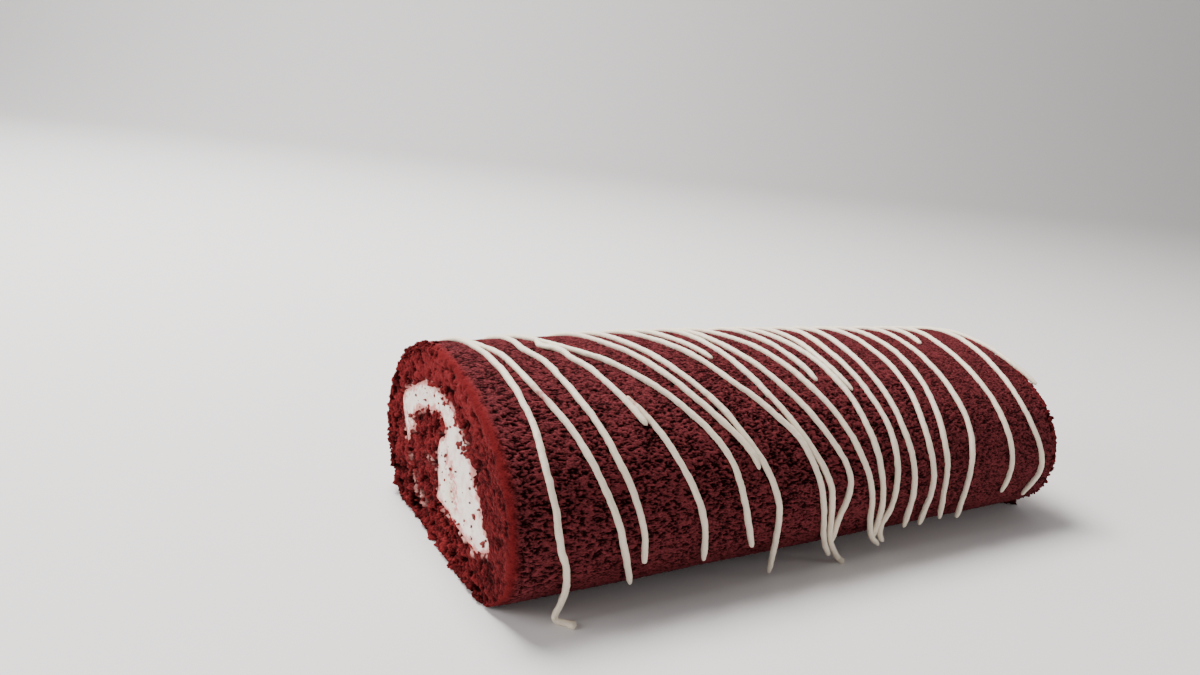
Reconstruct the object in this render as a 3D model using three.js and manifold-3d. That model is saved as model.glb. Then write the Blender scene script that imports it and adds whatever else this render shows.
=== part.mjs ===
// A whole red swiss roll cake with white cream rolled up in it and lines of white icing drizzled over it.
// Millimetres, +Z up. X runs along the roll, the shown cut is at -X and the shown side is -Y. Z is 0 under it.
import * as THREE from 'three';
import { mergeVertices } from 'three/addons/utils/BufferGeometryUtils.js';
import Module from 'manifold-3d';

const wasm = await Module();
wasm.setup();

// Driving dimensions of the roll
const LENGTH = 250;
const NEAR_HEIGHT = 70.8;
const FAR_HEIGHT = 65.3;
const NEAR_FRONT = 57;
const FAR_FRONT = 54.7;
const NEAR_BACK = 60;
const FAR_BACK = 58;
const WIDEST_AT = 28;
const FLANK_POWER = 2.9;
const FOOT_INSET_FRONT = 17.5;
const FOOT_INSET_BACK = 18;
const FOOT_TAPER = 1.6;

// The height holds for the first part of the length and then sinks, ever faster
const SINK_FROM = 0.35;
const SINK_POWER = 1.25;

// The side below the widest place takes this part of the way up. The rounded quarter above it is fuller at
// the back than at the front.
const FLANK_PART = 0.27;
const FRONT_FULLNESS = 2;
const BACK_FULLNESS = 2.25;

// The near cut is flat in its middle. From there the back and the top come out, and the front and its foot
// go in, each between two places across or up the cut.
const NEAR_CUT = -127.5;
const BACK_OUT = { by: 3.5, from: 15, to: 60, power: 1.3 };
const FRONT_IN = { by: 1.6, from: -25, to: -57, power: 1.5 };
const FOOT_IN = { by: 2.4, from: -30, to: -50, down: 30 };
const TOP_OUT = { by: 1.5, from: 50, to: 70 };
const FAR_CUT_LEAN = 0.02;

// How round the rims of the cuts are, and how torn the cuts are: depth, lumps to the millimetre, first lump
const NEAR_RIM = 3.2;
const FAR_RIM = 2.2;
const TORN_DEPTH = 0.9;
const TORN_PITCH = 0.28;
const TORN_PLACE = [40, 7];

// Filling and drizzle
const GAP = 0.3;
const CREAM_SWELL = 0.4;
const BEAD_WIDTH = 2.3;
const BEAD_HEIGHT = 2.4;
const BEAD_SHOULDER = 0.4;
const BEAD_LIFT = 0.45;
const BEAD_STEP = 13;
const POINT_STEP = 0.035;

// The lines leave the flanks at this height of the way round, and hang from there with a slight lean inwards
const FALL_FROM = 0.14;
const FALL_LEAN = 0.12;
const CREST = 0.55;

// The middle of the whole model's box in the roll's own frame, so that the origin is its bottom centre
const MIDDLE_X = -2.27;
const MIDDLE_Y = 0.75;

const SPONGE_RED = 0x6e1416;
const CREAM_WHITE = 0xeeeae0;

// The filling's edge at the near cut, as [y, z]: the hook's end, up the back, over the top, down to the
// point, back along the bottom, and round the heart of the roll
const CREAM_EDGE = [
  [39, 24], [43, 32.5], [45.5, 39.5], [41, 45.5], [32, 50.5], [20, 55], [6.5, 56], [-6, 54], [-15, 50],
  [-23, 44.5], [-28, 37.5], [-34.5, 32.5], [-41, 24.5], [-38.5, 18.5], [-32, 15.5], [-16.5, 15.5], [-3, 16.5],
  [7, 16], [7, 22.5], [8, 33.5], [2, 41.5], [1, 45.5], [11.5, 47], [25, 43], [34, 36.5], [37.5, 28.5],
];

// Each line of drizzle from the crest down the front: [way round, x] pairs, where the way round is 0 at the
// front foot, 0.5 at the top and 1 at the back foot. A line that starts at the crest goes on down the back.
const LINES = [
  [
    [0.55, -116.2], [0.45, -115], [0.35, -113.5], [0.25, -112.8], [0.15, -109.9], [0.108, -106.9],
    [0.077, -106], [0.046, -106.7], [0.009, -109.2],
  ],
  [
    [0.55, -115], [0.5, -111.6], [0.459, -110], [0.42, -109], [0.385, -107.3], [0.35, -104.8],
    [0.295, -100.4], [0.25, -97], [0.15, -88.7], [0.05, -82.8],
  ],
  [
    [0.55, -99.8], [0.5, -100.6], [0.45, -97.9], [0.396, -96.2], [0.35, -94.1], [0.3, -91.1],
    [0.25, -88], [0.15, -80.7], [0.09, -79],
  ],
  [
    [0.55, -90.6], [0.512, -92.4], [0.499, -88.6], [0.478, -87.4], [0.457, -87.4], [0.43, -84.5],
    [0.386, -81.5], [0.35, -78.8], [0.3, -74.5],
  ],
  [
    [0.55, -91], [0.525, -88.7], [0.493, -84.5], [0.44, -75.4], [0.4, -69.3], [0.35, -61.6],
    [0.314, -56.6], [0.273, -50.5], [0.232, -45.9], [0.2, -43.8], [0.15, -40.3], [0.08, -35.2],
  ],
  [
    [0.352, -77.5], [0.326, -74.8], [0.304, -72.3], [0.277, -69.3], [0.25, -66.8], [0.15, -57.8],
    [0.07, -55],
  ],
  [
    [0.55, -69.8], [0.5, -66.6], [0.45, -62.3], [0.4, -57.8], [0.348, -52.7], [0.306, -47.2],
    [0.267, -40.9], [0.235, -36.6], [0.217, -35.4],
  ],
  [
    [0.55, -61.2], [0.45, -55.6], [0.37, -48.9], [0.318, -43.3], [0.272, -38.6], [0.234, -34.2],
    [0.195, -30], [0.15, -26.4], [0.006, -24.6],
  ],
  [
    [0.55, -48], [0.45, -40.2], [0.368, -32.9], [0.335, -28], [0.294, -21.9], [0.25, -14.7],
    [0.15, -6.6], [0.063, -1.6], [0.02, 3],
  ],
  [[0.55, -39.4], [0.45, -33.9], [0.425, -32.8]],
  [
    [0.55, -27.5], [0.45, -26.2], [0.365, -22.7], [0.315, -19.1], [0.25, -12.4], [0.184, -4.6],
    [0.112, -1.1], [0.06, 1.2], [0.01, 7.5],
  ],
  [
    [0.55, -22.5], [0.45, -19.4], [0.362, -13], [0.317, -8.9], [0.25, -1.5], [0.19, 5], [0.151, 4.6],
    [0.115, 2.6], [0.055, 2.7],
  ],
  [
    [0.55, -13], [0.45, -6.5], [0.35, 0], [0.25, 8.5], [0.153, 16.8], [0.093, 19.1], [0.052, 22.1],
    [0.019, 28],
  ],
  [[0.55, 1.5], [0.45, 3], [0.355, 5.5]],
  [
    [0.55, 10.5], [0.45, 12.2], [0.35, 15.2], [0.25, 18], [0.172, 21.2], [0.114, 23.9], [0.071, 23.5],
    [0.044, 24.1],
  ],
  [[0.55, 19.5], [0.45, 17], [0.4, 16.5], [0.33, 19]],
  [
    [0.55, 31.5], [0.45, 26], [0.35, 25.7], [0.25, 28], [0.151, 28.8], [0.11, 28.3], [0.074, 25.9],
    [0.041, 27.4], [0.027, 30],
  ],
  [[0.55, 42], [0.45, 36], [0.35, 34.5], [0.25, 35], [0.15, 38.5], [0.054, 39]],
  [[0.55, 54.5], [0.45, 50.3], [0.35, 48.5], [0.25, 46], [0.15, 48.5], [0.053, 47.6]],
  [[0.55, 65.5], [0.45, 61.5], [0.35, 58.5], [0.25, 55], [0.15, 55.8], [0.059, 58.4]],
  [[0.55, 80], [0.45, 74], [0.35, 71], [0.25, 70.5], [0.15, 68.7], [0.052, 68.8]],
  [[0.55, 92], [0.5, 87.5], [0.46, 83.5]],
  [[0.55, 102.5], [0.45, 94], [0.35, 90.8], [0.25, 91.5], [0.158, 93.7], [0.103, 91.9]],
  [
    [0.55, 120], [0.45, 112.5], [0.35, 107.5], [0.25, 107.2], [0.158, 113.2], [0.133, 112.2],
    [0.106, 108.8], [0.083, 106.5],
  ],
  [[0.55, 123.5], [0.5, 123.5], [0.45, 122.3], [0.373, 122], [0.35, 123], [0.315, 124]],
];

// The two lines that reach the ground: the line's place in the list, and how far on its foot runs from there
const FEET = [
  [0, 6.2, -4.6],
  [10, 1.6, -2.4],
];

// Measures of the unseen back
const BACK_SLANT = 0.45;
const BACK_STOP = 0.74;
const BACK_SPREAD = 0.18;
const GOLDEN = 0.618;
const BACK_REACH = 119;
const BACK_WAYS = [0.65, 0.75, 0.85];
const BACK_WOBBLE = 1.6;

// Hash of a whole number to 0..1, the same on every run
function chance(n) {
  const s = Math.sin(n * 127.1 + 11.7) * 43758.5453;
  return s - Math.floor(s);
}

// Smooth bumps over a plane, about -1..1, one bump to a unit
function bumps(a, b) {
  const i = Math.floor(a);
  const j = Math.floor(b);
  const fa = THREE.MathUtils.smoothstep(a - i, 0, 1);
  const fb = THREE.MathUtils.smoothstep(b - j, 0, 1);
  const at = (p, q) => chance(p * 57 + q * 131) * 2 - 1;
  const low = THREE.MathUtils.lerp(at(i, j), at(i + 1, j), fa);
  const high = THREE.MathUtils.lerp(at(i, j + 1), at(i + 1, j + 1), fa);
  return THREE.MathUtils.lerp(low, high, fb);
}

// How far value has come from one place to another, 0..1
function rise({ from, to }, value) {
  return THREE.MathUtils.clamp((value - from) / (to - from), 0, 1);
}

// The roll's section at x
function sectionAt(x) {
  const t = x / LENGTH + 0.5;
  const sink = Math.max(0, (t - SINK_FROM) / (1 - SINK_FROM)) ** SINK_POWER;
  const front = THREE.MathUtils.lerp(NEAR_FRONT, FAR_FRONT, t);
  const back = THREE.MathUtils.lerp(NEAR_BACK, FAR_BACK, t);
  return {
    height: NEAR_HEIGHT - (NEAR_HEIGHT - FAR_HEIGHT) * sink,
    front,
    back,
    footFront: front - FOOT_INSET_FRONT - FOOT_TAPER * t,
    footBack: back - FOOT_INSET_BACK,
    middle: (back - front) / 2,
  };
}

// One side of the section, v = 0..1 from foot to top. Up to the widest place, y is the half width less the
// foot's inset times (depth below that place) ^ power. From there up it is a quarter of a rounded oval.
function sidePoint(section, side, v) {
  const wide = side < 0 ? section.front : section.back;
  const foot = side < 0 ? section.footFront : section.footBack;
  if (v < FLANK_PART) {
    const depth = 1 - v / FLANK_PART;
    return [side * (wide - (wide - foot) * depth ** FLANK_POWER), WIDEST_AT * (1 - depth)];
  }
  const turn = ((v - FLANK_PART) / (1 - FLANK_PART)) * (Math.PI / 2);
  const power = 2 / (side < 0 ? FRONT_FULLNESS : BACK_FULLNESS);
  const reach = side * wide - section.middle;
  const height = section.height - WIDEST_AT;
  return [
    section.middle + reach * Math.max(0, Math.cos(turn)) ** power,
    WIDEST_AT + height * Math.sin(turn) ** power,
  ];
}

// A point of the skin at x and a part u of the way round, even steps of u being even steps along the skin
const ROUND_STEPS = 120;
const arcCache = new Map();

function skinTable(x) {
  const key = Math.round(x * 4);
  if (!arcCache.has(key)) {
    const section = sectionAt(key / 4);
    const sides = [-1, 1].map((side) => {
      const points = [];
      let length = 0;
      for (let i = 0; i <= ROUND_STEPS; i += 1) {
        const [y, z] = sidePoint(section, side, i / ROUND_STEPS);
        if (i > 0) {
          const last = points[i - 1];
          length += Math.hypot(y - last.y, z - last.z);
        }
        points.push({ y, z, length });
      }
      return points;
    });
    arcCache.set(key, sides);
  }
  return arcCache.get(key);
}

function skinPoint(x, u) {
  const points = skinTable(x)[u <= 0.5 ? 0 : 1];
  const part = u <= 0.5 ? u * 2 : (1 - u) * 2;
  const wanted = THREE.MathUtils.clamp(part, 0, 1) * points[ROUND_STEPS].length;
  let i = 1;
  while (i < ROUND_STEPS && points[i].length < wanted) i += 1;
  const a = points[i - 1];
  const b = points[i];
  const t = (wanted - a.length) / (b.length - a.length || 1);
  return [THREE.MathUtils.lerp(a.y, b.y, t), THREE.MathUtils.lerp(a.z, b.z, t)];
}

// Outward direction of the skin in its section
function skinNormal(x, u) {
  const step = 0.01;
  const [y0, z0] = skinPoint(x, Math.max(0, u - step));
  const [y1, z1] = skinPoint(x, Math.min(1, u + step));
  const length = Math.hypot(y1 - y0, z1 - z0);
  return [-(z1 - z0) / length, (y1 - y0) / length];
}

// The two cuts: x at a place of the section
function nearCut(y, z) {
  const back = BACK_OUT.by * rise(BACK_OUT, y) ** BACK_OUT.power;
  const front = FRONT_IN.by * rise(FRONT_IN, y) ** FRONT_IN.power;
  const foot = FOOT_IN.by * rise(FOOT_IN, y) * THREE.MathUtils.clamp(1 - z / FOOT_IN.down, 0, 1);
  return NEAR_CUT - back + front + foot - TOP_OUT.by * rise(TOP_OUT, z);
}

function farCut(y) {
  return LENGTH / 2 + FAR_CUT_LEAN * y;
}

// A closed solid from rings of [x, y, z] points, which follow each other along +X and run from the back over
// the top to the front, with the first and last ring closed by flat faces
function loft(rings) {
  const count = rings[0].length;
  const positions = rings.flat(2);
  const index = [];
  for (let r = 0; r < rings.length - 1; r += 1) {
    for (let i = 0; i < count; i += 1) {
      const a = r * count + i;
      const b = r * count + ((i + 1) % count);
      index.push(a, b, a + count, b, b + count, a + count);
    }
  }
  const last = (rings.length - 1) * count;
  const outline = (ring) => ring.map(([, y, z]) => new THREE.Vector2(y, z));
  THREE.ShapeUtils.triangulateShape(outline(rings[0]), []).forEach(([a, b, c]) => index.push(c, b, a));
  THREE.ShapeUtils.triangulateShape(outline(rings[rings.length - 1]), []).forEach(([a, b, c]) => {
    index.push(last + a, last + b, last + c);
  });
  const geometry = new THREE.BufferGeometry();
  geometry.setAttribute('position', new THREE.Float32BufferAttribute(positions, 3));
  geometry.setIndex(index);
  return geometry;
}

// Solids for joining and cutting, and back
function toSolid(geometry) {
  const bare = geometry.clone();
  bare.deleteAttribute('normal');
  bare.deleteAttribute('uv');
  const merged = mergeVertices(bare, 1e-4);
  const mesh = new wasm.Mesh({
    numProp: 3,
    vertProperties: new Float32Array(merged.attributes.position.array),
    triVerts: new Uint32Array(merged.index.array),
  });
  return new wasm.Manifold(mesh);
}

function toGeometry(solid) {
  const mesh = solid.getMesh();
  const geometry = new THREE.BufferGeometry();
  geometry.setAttribute('position', new THREE.Float32BufferAttribute(mesh.vertProperties, 3));
  geometry.setIndex([...mesh.triVerts]);
  return geometry;
}

// The bare roll: rings of skin along X, rims that turn in, and torn cuts made of shrinking rings
const SKIN_COUNT = 26;
const BASE_COUNT = 4;
const SKIN_STATIONS = 3;
const CUT_RINGS = 4;
const RIM_SHOULDER = 0.29;
const HEART_Y = 1.5;
const HEART_Z = 32;

function rollRing(place, inset, shrink, torn) {
  const ring = [];
  const x = place(0, HEART_Z);
  const section = sectionAt(x);
  for (let i = 0; i < SKIN_COUNT + BASE_COUNT; i += 1) {
    const u = i / SKIN_COUNT;
    let y = THREE.MathUtils.lerp(section.footBack, -section.footFront, (i - SKIN_COUNT) / BASE_COUNT);
    let z = 0;
    if (u <= 1) {
      const [skinY, skinZ] = skinPoint(x, u);
      const [ny, nz] = skinNormal(x, u);
      y = skinY - inset * ny;
      z = Math.max(0, skinZ - inset * nz);
    }
    y = THREE.MathUtils.lerp(y, HEART_Y, shrink);
    z = THREE.MathUtils.lerp(z, HEART_Z, shrink);
    const bump = bumps(y * TORN_PITCH + TORN_PLACE[0], z * TORN_PITCH + TORN_PLACE[1]);
    ring.push([place(y, z) + torn * bump, y, z]);
  }
  return ring.reverse();
}

// A rim's rings from the cut to the skin: how far each lies from the cut, and how far in from the skin
function rimSteps(radius) {
  return [[0, radius], [RIM_SHOULDER * radius, RIM_SHOULDER * radius], [radius, 0]];
}

function makeRoll() {
  const rings = [];
  for (let k = CUT_RINGS; k > 0; k -= 1) {
    rings.push(rollRing(nearCut, NEAR_RIM, k / (CUT_RINGS + 1), TORN_DEPTH));
  }
  rimSteps(NEAR_RIM).forEach(([depth, inset]) => {
    rings.push(rollRing((y, z) => nearCut(y, z) + depth, inset, 0, depth ? 0 : TORN_DEPTH / 2));
  });
  for (let k = 1; k < SKIN_STATIONS; k += 1) {
    const t = k / SKIN_STATIONS;
    const place = (y, z) => THREE.MathUtils.lerp(nearCut(y, z) + NEAR_RIM, farCut(y) - FAR_RIM, t);
    rings.push(rollRing(place, 0, 0, 0));
  }
  rimSteps(FAR_RIM).reverse().forEach(([depth, inset]) => {
    rings.push(rollRing((y) => farCut(y) - depth, inset, 0, depth ? 0 : TORN_DEPTH / 2));
  });
  for (let k = 1; k <= CUT_RINGS; k += 1) {
    rings.push(rollRing(farCut, FAR_RIM, k / (CUT_RINGS + 1), TORN_DEPTH));
  }
  return toSolid(loft(rings));
}

// The filling: its edge as a smooth closed curve, scaled with the roll's height from end to end
const CREAM_COUNT = 48;
const CREAM_STATIONS = 6;
const SHARPEST_MITRE = 0.3;

// Outward direction of the edge from one point of the ring to the next
function edgeNormal(from, to) {
  const length = Math.hypot(to.y - from.y, to.z - from.z);
  return [(to.z - from.z) / length, -(to.y - from.y) / length];
}

function creamRing(place, grow) {
  const corners = CREAM_EDGE.map(([y, z]) => new THREE.Vector3(0, y, z));
  const curve = new THREE.CatmullRomCurve3(corners, true, 'centripetal');
  const points = curve.getSpacedPoints(CREAM_COUNT).slice(0, CREAM_COUNT);
  return points.map((point, i) => {
    const [y1, z1] = edgeNormal(points[(i + CREAM_COUNT - 1) % CREAM_COUNT], point);
    const [y2, z2] = edgeNormal(point, points[(i + 1) % CREAM_COUNT]);
    const mitre = grow / Math.max(SHARPEST_MITRE, 1 + y1 * y2 + z1 * z2);
    const y = point.y + mitre * (y1 + y2);
    const z = point.z + mitre * (z1 + z2);
    const x = place(y, z);
    return [x, y, (z * sectionAt(x).height) / NEAR_HEIGHT];
  });
}

function makeFilling(grow, reach) {
  const rings = [];
  for (let k = 0; k <= CREAM_STATIONS; k += 1) {
    const t = k / CREAM_STATIONS;
    rings.push(creamRing((y, z) => THREE.MathUtils.lerp(nearCut(y, z) - reach, farCut(y) + reach, t), grow));
  }
  return toSolid(loft(rings));
}

// A line's x at a way round: smooth between the pairs it is given by
function lineAt(pairs, u) {
  const points = pairs.map(([way, x]) => new THREE.Vector2(way, x));
  let i = 1;
  while (i < points.length - 1 && points[i].x > u) i += 1;
  const a = points[i - 1];
  const b = points[i];
  const before = points[Math.max(0, i - 2)];
  const after = points[Math.min(points.length - 1, i + 1)];
  const width = b.x - a.x;
  const t = THREE.MathUtils.clamp((u - a.x) / width, 0, 1);
  const slopeA = ((b.y - before.y) / (b.x - before.x)) * width;
  const slopeB = ((after.y - a.y) / (after.x - a.x)) * width;
  const t2 = t * t;
  const t3 = t2 * t;
  const ends = (2 * t3 - 3 * t2 + 1) * a.y + (3 * t2 - 2 * t3) * b.y;
  return ends + (t3 - 2 * t2 + t) * slopeA + (t3 - t2) * slopeB;
}

// The whole line: on the unseen back it goes on with the slant it has on the front, and stops at its height
function wholeLine(pairs, number) {
  if (pairs[0][0] < CREST) return pairs;
  const crestX = pairs[0][1];
  const stop = BACK_STOP + BACK_SPREAD * ((number * GOLDEN) % 1);
  const ways = [...BACK_WAYS.filter((way) => way < stop - POINT_STEP), stop];
  const lowest = pairs[pairs.length - 1][0];
  const unseen = ways.map((way) => {
    const twin = Math.max(lowest, 2 * CREST - way);
    const wobble = BACK_WOBBLE * (chance(number * 9 + way * 40) - 0.5);
    const x = crestX - BACK_SLANT * (lineAt(pairs, twin) - crestX) + wobble;
    return [way, THREE.MathUtils.clamp(x, -BACK_REACH, BACK_REACH)];
  });
  return [...unseen.reverse(), ...pairs];
}

// The middle of a line's bead at x and a way round: on the skin, or hanging from it, or on the ground
function beadPoint(x, u) {
  const front = u < 0.5;
  const way = front ? u : 1 - u;
  const held = Math.max(way, FALL_FROM);
  const on = front ? held : 1 - held;
  const [y, z] = skinPoint(x, on);
  const [ny, nz] = skinNormal(x, on);
  const fall = (z * (held - way)) / held;
  const inwards = front ? 1 : -1;
  const middleZ = Math.max(BEAD_WIDTH / 2, z + BEAD_LIFT * nz - fall);
  return new THREE.Vector3(x, y + BEAD_LIFT * ny + inwards * FALL_LEAN * fall, middleZ);
}

function beadSection() {
  const shape = new THREE.Shape();
  shape.moveTo(-BEAD_WIDTH / 2, -BEAD_HEIGHT / 2);
  shape.lineTo(BEAD_WIDTH / 2, -BEAD_HEIGHT / 2);
  shape.lineTo(BEAD_WIDTH / 2, BEAD_SHOULDER);
  shape.lineTo(0, BEAD_HEIGHT / 2);
  shape.lineTo(-BEAD_WIDTH / 2, BEAD_SHOULDER);
  return shape;
}

function makeBead(points) {
  const path = new THREE.CatmullRomCurve3(points, false, 'centripetal');
  const steps = Math.max(2, Math.round(path.getLength() / BEAD_STEP));
  return toSolid(new THREE.ExtrudeGeometry(beadSection(), { extrudePath: path, steps, bevelEnabled: false }));
}

function makeLine(pairs, number) {
  const line = wholeLine(pairs, number);
  const high = line[0][0];
  const low = line[line.length - 1][0];
  const count = Math.max(3, Math.round((high - low) / POINT_STEP));
  const points = [];
  for (let i = 0; i <= count; i += 1) {
    const u = THREE.MathUtils.lerp(high, low, i / count);
    points.push(beadPoint(lineAt(line, u), u));
  }
  return makeBead(points);
}

// The foot of a line that runs on over the ground
function makeFoot([number, alongX, alongY]) {
  const pairs = LINES[number];
  const [way, x] = pairs[pairs.length - 1];
  const start = beadPoint(x, way);
  const end = start.clone().add(new THREE.Vector3(alongX, alongY, 0));
  return makeBead([start, start.clone().lerp(end, 0.5), end]);
}

function makeMesh(name, solid, colour, roughness) {
  const material = new THREE.MeshStandardMaterial({ color: colour, roughness, metalness: 0 });
  const mesh = new THREE.Mesh(toGeometry(solid), material);
  mesh.name = name;
  return mesh;
}

function makeSponge() {
  let sponge = makeRoll().subtract(makeFilling(GAP, 4));
  LINES.forEach((pairs, number) => {
    sponge = sponge.add(makeLine(pairs, number));
  });
  FEET.forEach((foot) => {
    sponge = sponge.add(makeFoot(foot));
  });
  return sponge;
}

const cake = new THREE.Group();
cake.add(makeMesh('sponge', makeSponge(), SPONGE_RED, 0.9));
cake.add(makeMesh('cream', makeFilling(0, CREAM_SWELL - GAP), CREAM_WHITE, 0.6));
cake.position.set(-MIDDLE_X, -MIDDLE_Y, 0);

export default cake;
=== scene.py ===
"""A red swiss roll cake: sponge with torn cuts, cream rolled up in it, and white icing drizzled over it.

Shapes are worked out in the roll's own millimetres and put into the frame's metres at the end.
"""

import math
from itertools import product

import bpy
import numpy as np
from bpy.props import FloatProperty, FloatVectorProperty, PointerProperty
from bpy.types import Operator, Panel, PropertyGroup
from mathutils import Matrix, Vector


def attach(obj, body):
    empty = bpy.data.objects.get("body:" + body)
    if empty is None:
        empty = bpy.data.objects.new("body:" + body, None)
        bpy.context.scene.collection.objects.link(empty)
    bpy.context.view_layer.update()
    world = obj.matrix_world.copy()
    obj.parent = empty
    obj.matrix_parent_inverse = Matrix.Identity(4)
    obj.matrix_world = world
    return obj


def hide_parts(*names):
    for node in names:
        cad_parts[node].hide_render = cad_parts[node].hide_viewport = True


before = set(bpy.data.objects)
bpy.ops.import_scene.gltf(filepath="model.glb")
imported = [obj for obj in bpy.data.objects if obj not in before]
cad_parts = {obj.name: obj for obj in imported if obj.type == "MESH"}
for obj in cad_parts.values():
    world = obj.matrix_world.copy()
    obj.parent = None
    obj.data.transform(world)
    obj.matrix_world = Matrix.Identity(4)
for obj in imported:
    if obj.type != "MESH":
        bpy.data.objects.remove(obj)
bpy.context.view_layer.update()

bl_info = {
    "name": "Swiss roll cake",
    "version": (1, 0, 0),
    "blender": (4, 5, 0),
    "location": "View3D > Sidebar > Swiss roll",
    "description": "A red swiss roll with cream and white drizzle, built round its packed solids",
    "category": "Add Mesh",
}

# The roll's own frame to the model's, in mm
ROLL_TO_MODEL = np.array([2.27, -0.75, 0.0])
MM = 0.001

# Driving sizes of the roll, in mm
LENGTH = 250.0
NEAR_HEIGHT, FAR_HEIGHT = 70.8, 65.3
NEAR_FRONT, FAR_FRONT = 57.0, 54.7
NEAR_BACK, FAR_BACK = 60.0, 58.0
FOOT_INSET_FRONT, FOOT_INSET_BACK = 17.5, 18.0
WIDEST_AT = 28.0
FLANK_POWER = 2.9
FLANK_PART = 0.27
BACK_FULLNESS = 2.25
FOOT_TAPER = 1.6
SINK_FROM, SINK_POWER = 0.35, 1.25
RIM_ROUND = 3.2
CUT_DEPTH = 7.0
HEART = (1.5, 32.0)

# Lengths that the grids are worked out from: round the skin, across the foot, and from the heart to the skin
SKIN_ROUND, FOOT_WIDE, HEART_REACH = 192, 80, 39
WALLS, WALL_THICK = 6, 8.5
BASE_COLUMNS = 16

# x of the near cut's middle, and how much the far cut slants
NEAR_CUT_AT, FAR_CUT_SLANT = -127.5, 0.02

# The cream at the near cut: outer edge and inner edge (y, z), from the hook's end over the top to the point
CREAM_EDGES = [
    ((38.5, 24.6), (37.2, 25.3)),
    ((40.5, 29.6), (37.5, 28.6)),
    ((42.9, 33.6), (35.6, 31.1)),
    ((45.3, 38.7), (33.1, 34.1)),
    ((44.4, 43.2), (34.1, 37.1)),
    ((38.0, 47.1), (31.1, 40.1)),
    ((30.8, 51.2), (27.0, 42.6)),
    ((24.2, 53.9), (21.8, 44.2)),
    ((15.4, 55.2), (14.2, 46.4)),
    ((6.8, 55.6), (8.0, 47.2)),
    ((0.9, 55.0), (2.6, 46.3)),
    ((-4.9, 54.5), (0.2, 44.0)),
    ((-9.9, 51.6), (2.6, 41.4)),
    ((-14.6, 49.8), (6.8, 38.5)),
    ((-19.1, 47.0), (8.0, 34.4)),
    ((-23.5, 43.4), (7.4, 29.5)),
    ((-26.8, 38.6), (7.4, 24.5)),
    ((-30.4, 35.8), (6.2, 20.1)),
    ((-33.5, 33.4), (7.4, 16.3)),
    ((-35.0, 31.0), (-1.6, 16.4)),
    ((-35.9, 29.0), (-14.1, 15.5)),
    ((-37.7, 26.0), (-27.3, 15.9)),
    ((-40.9, 24.8), (-33.1, 15.4)),
    ((-41.5, 22.0), (-37.6, 18.0)),
    ((-41.1, 20.7), (-40.1, 19.3)),
]
OUTLINE_STEPS = 97

# How far the filling reaches under the crumb round it, and how deep the crumb sinks over it
CREAM_REACH, CREAM_SINK = 1.3, 2.8

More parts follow.
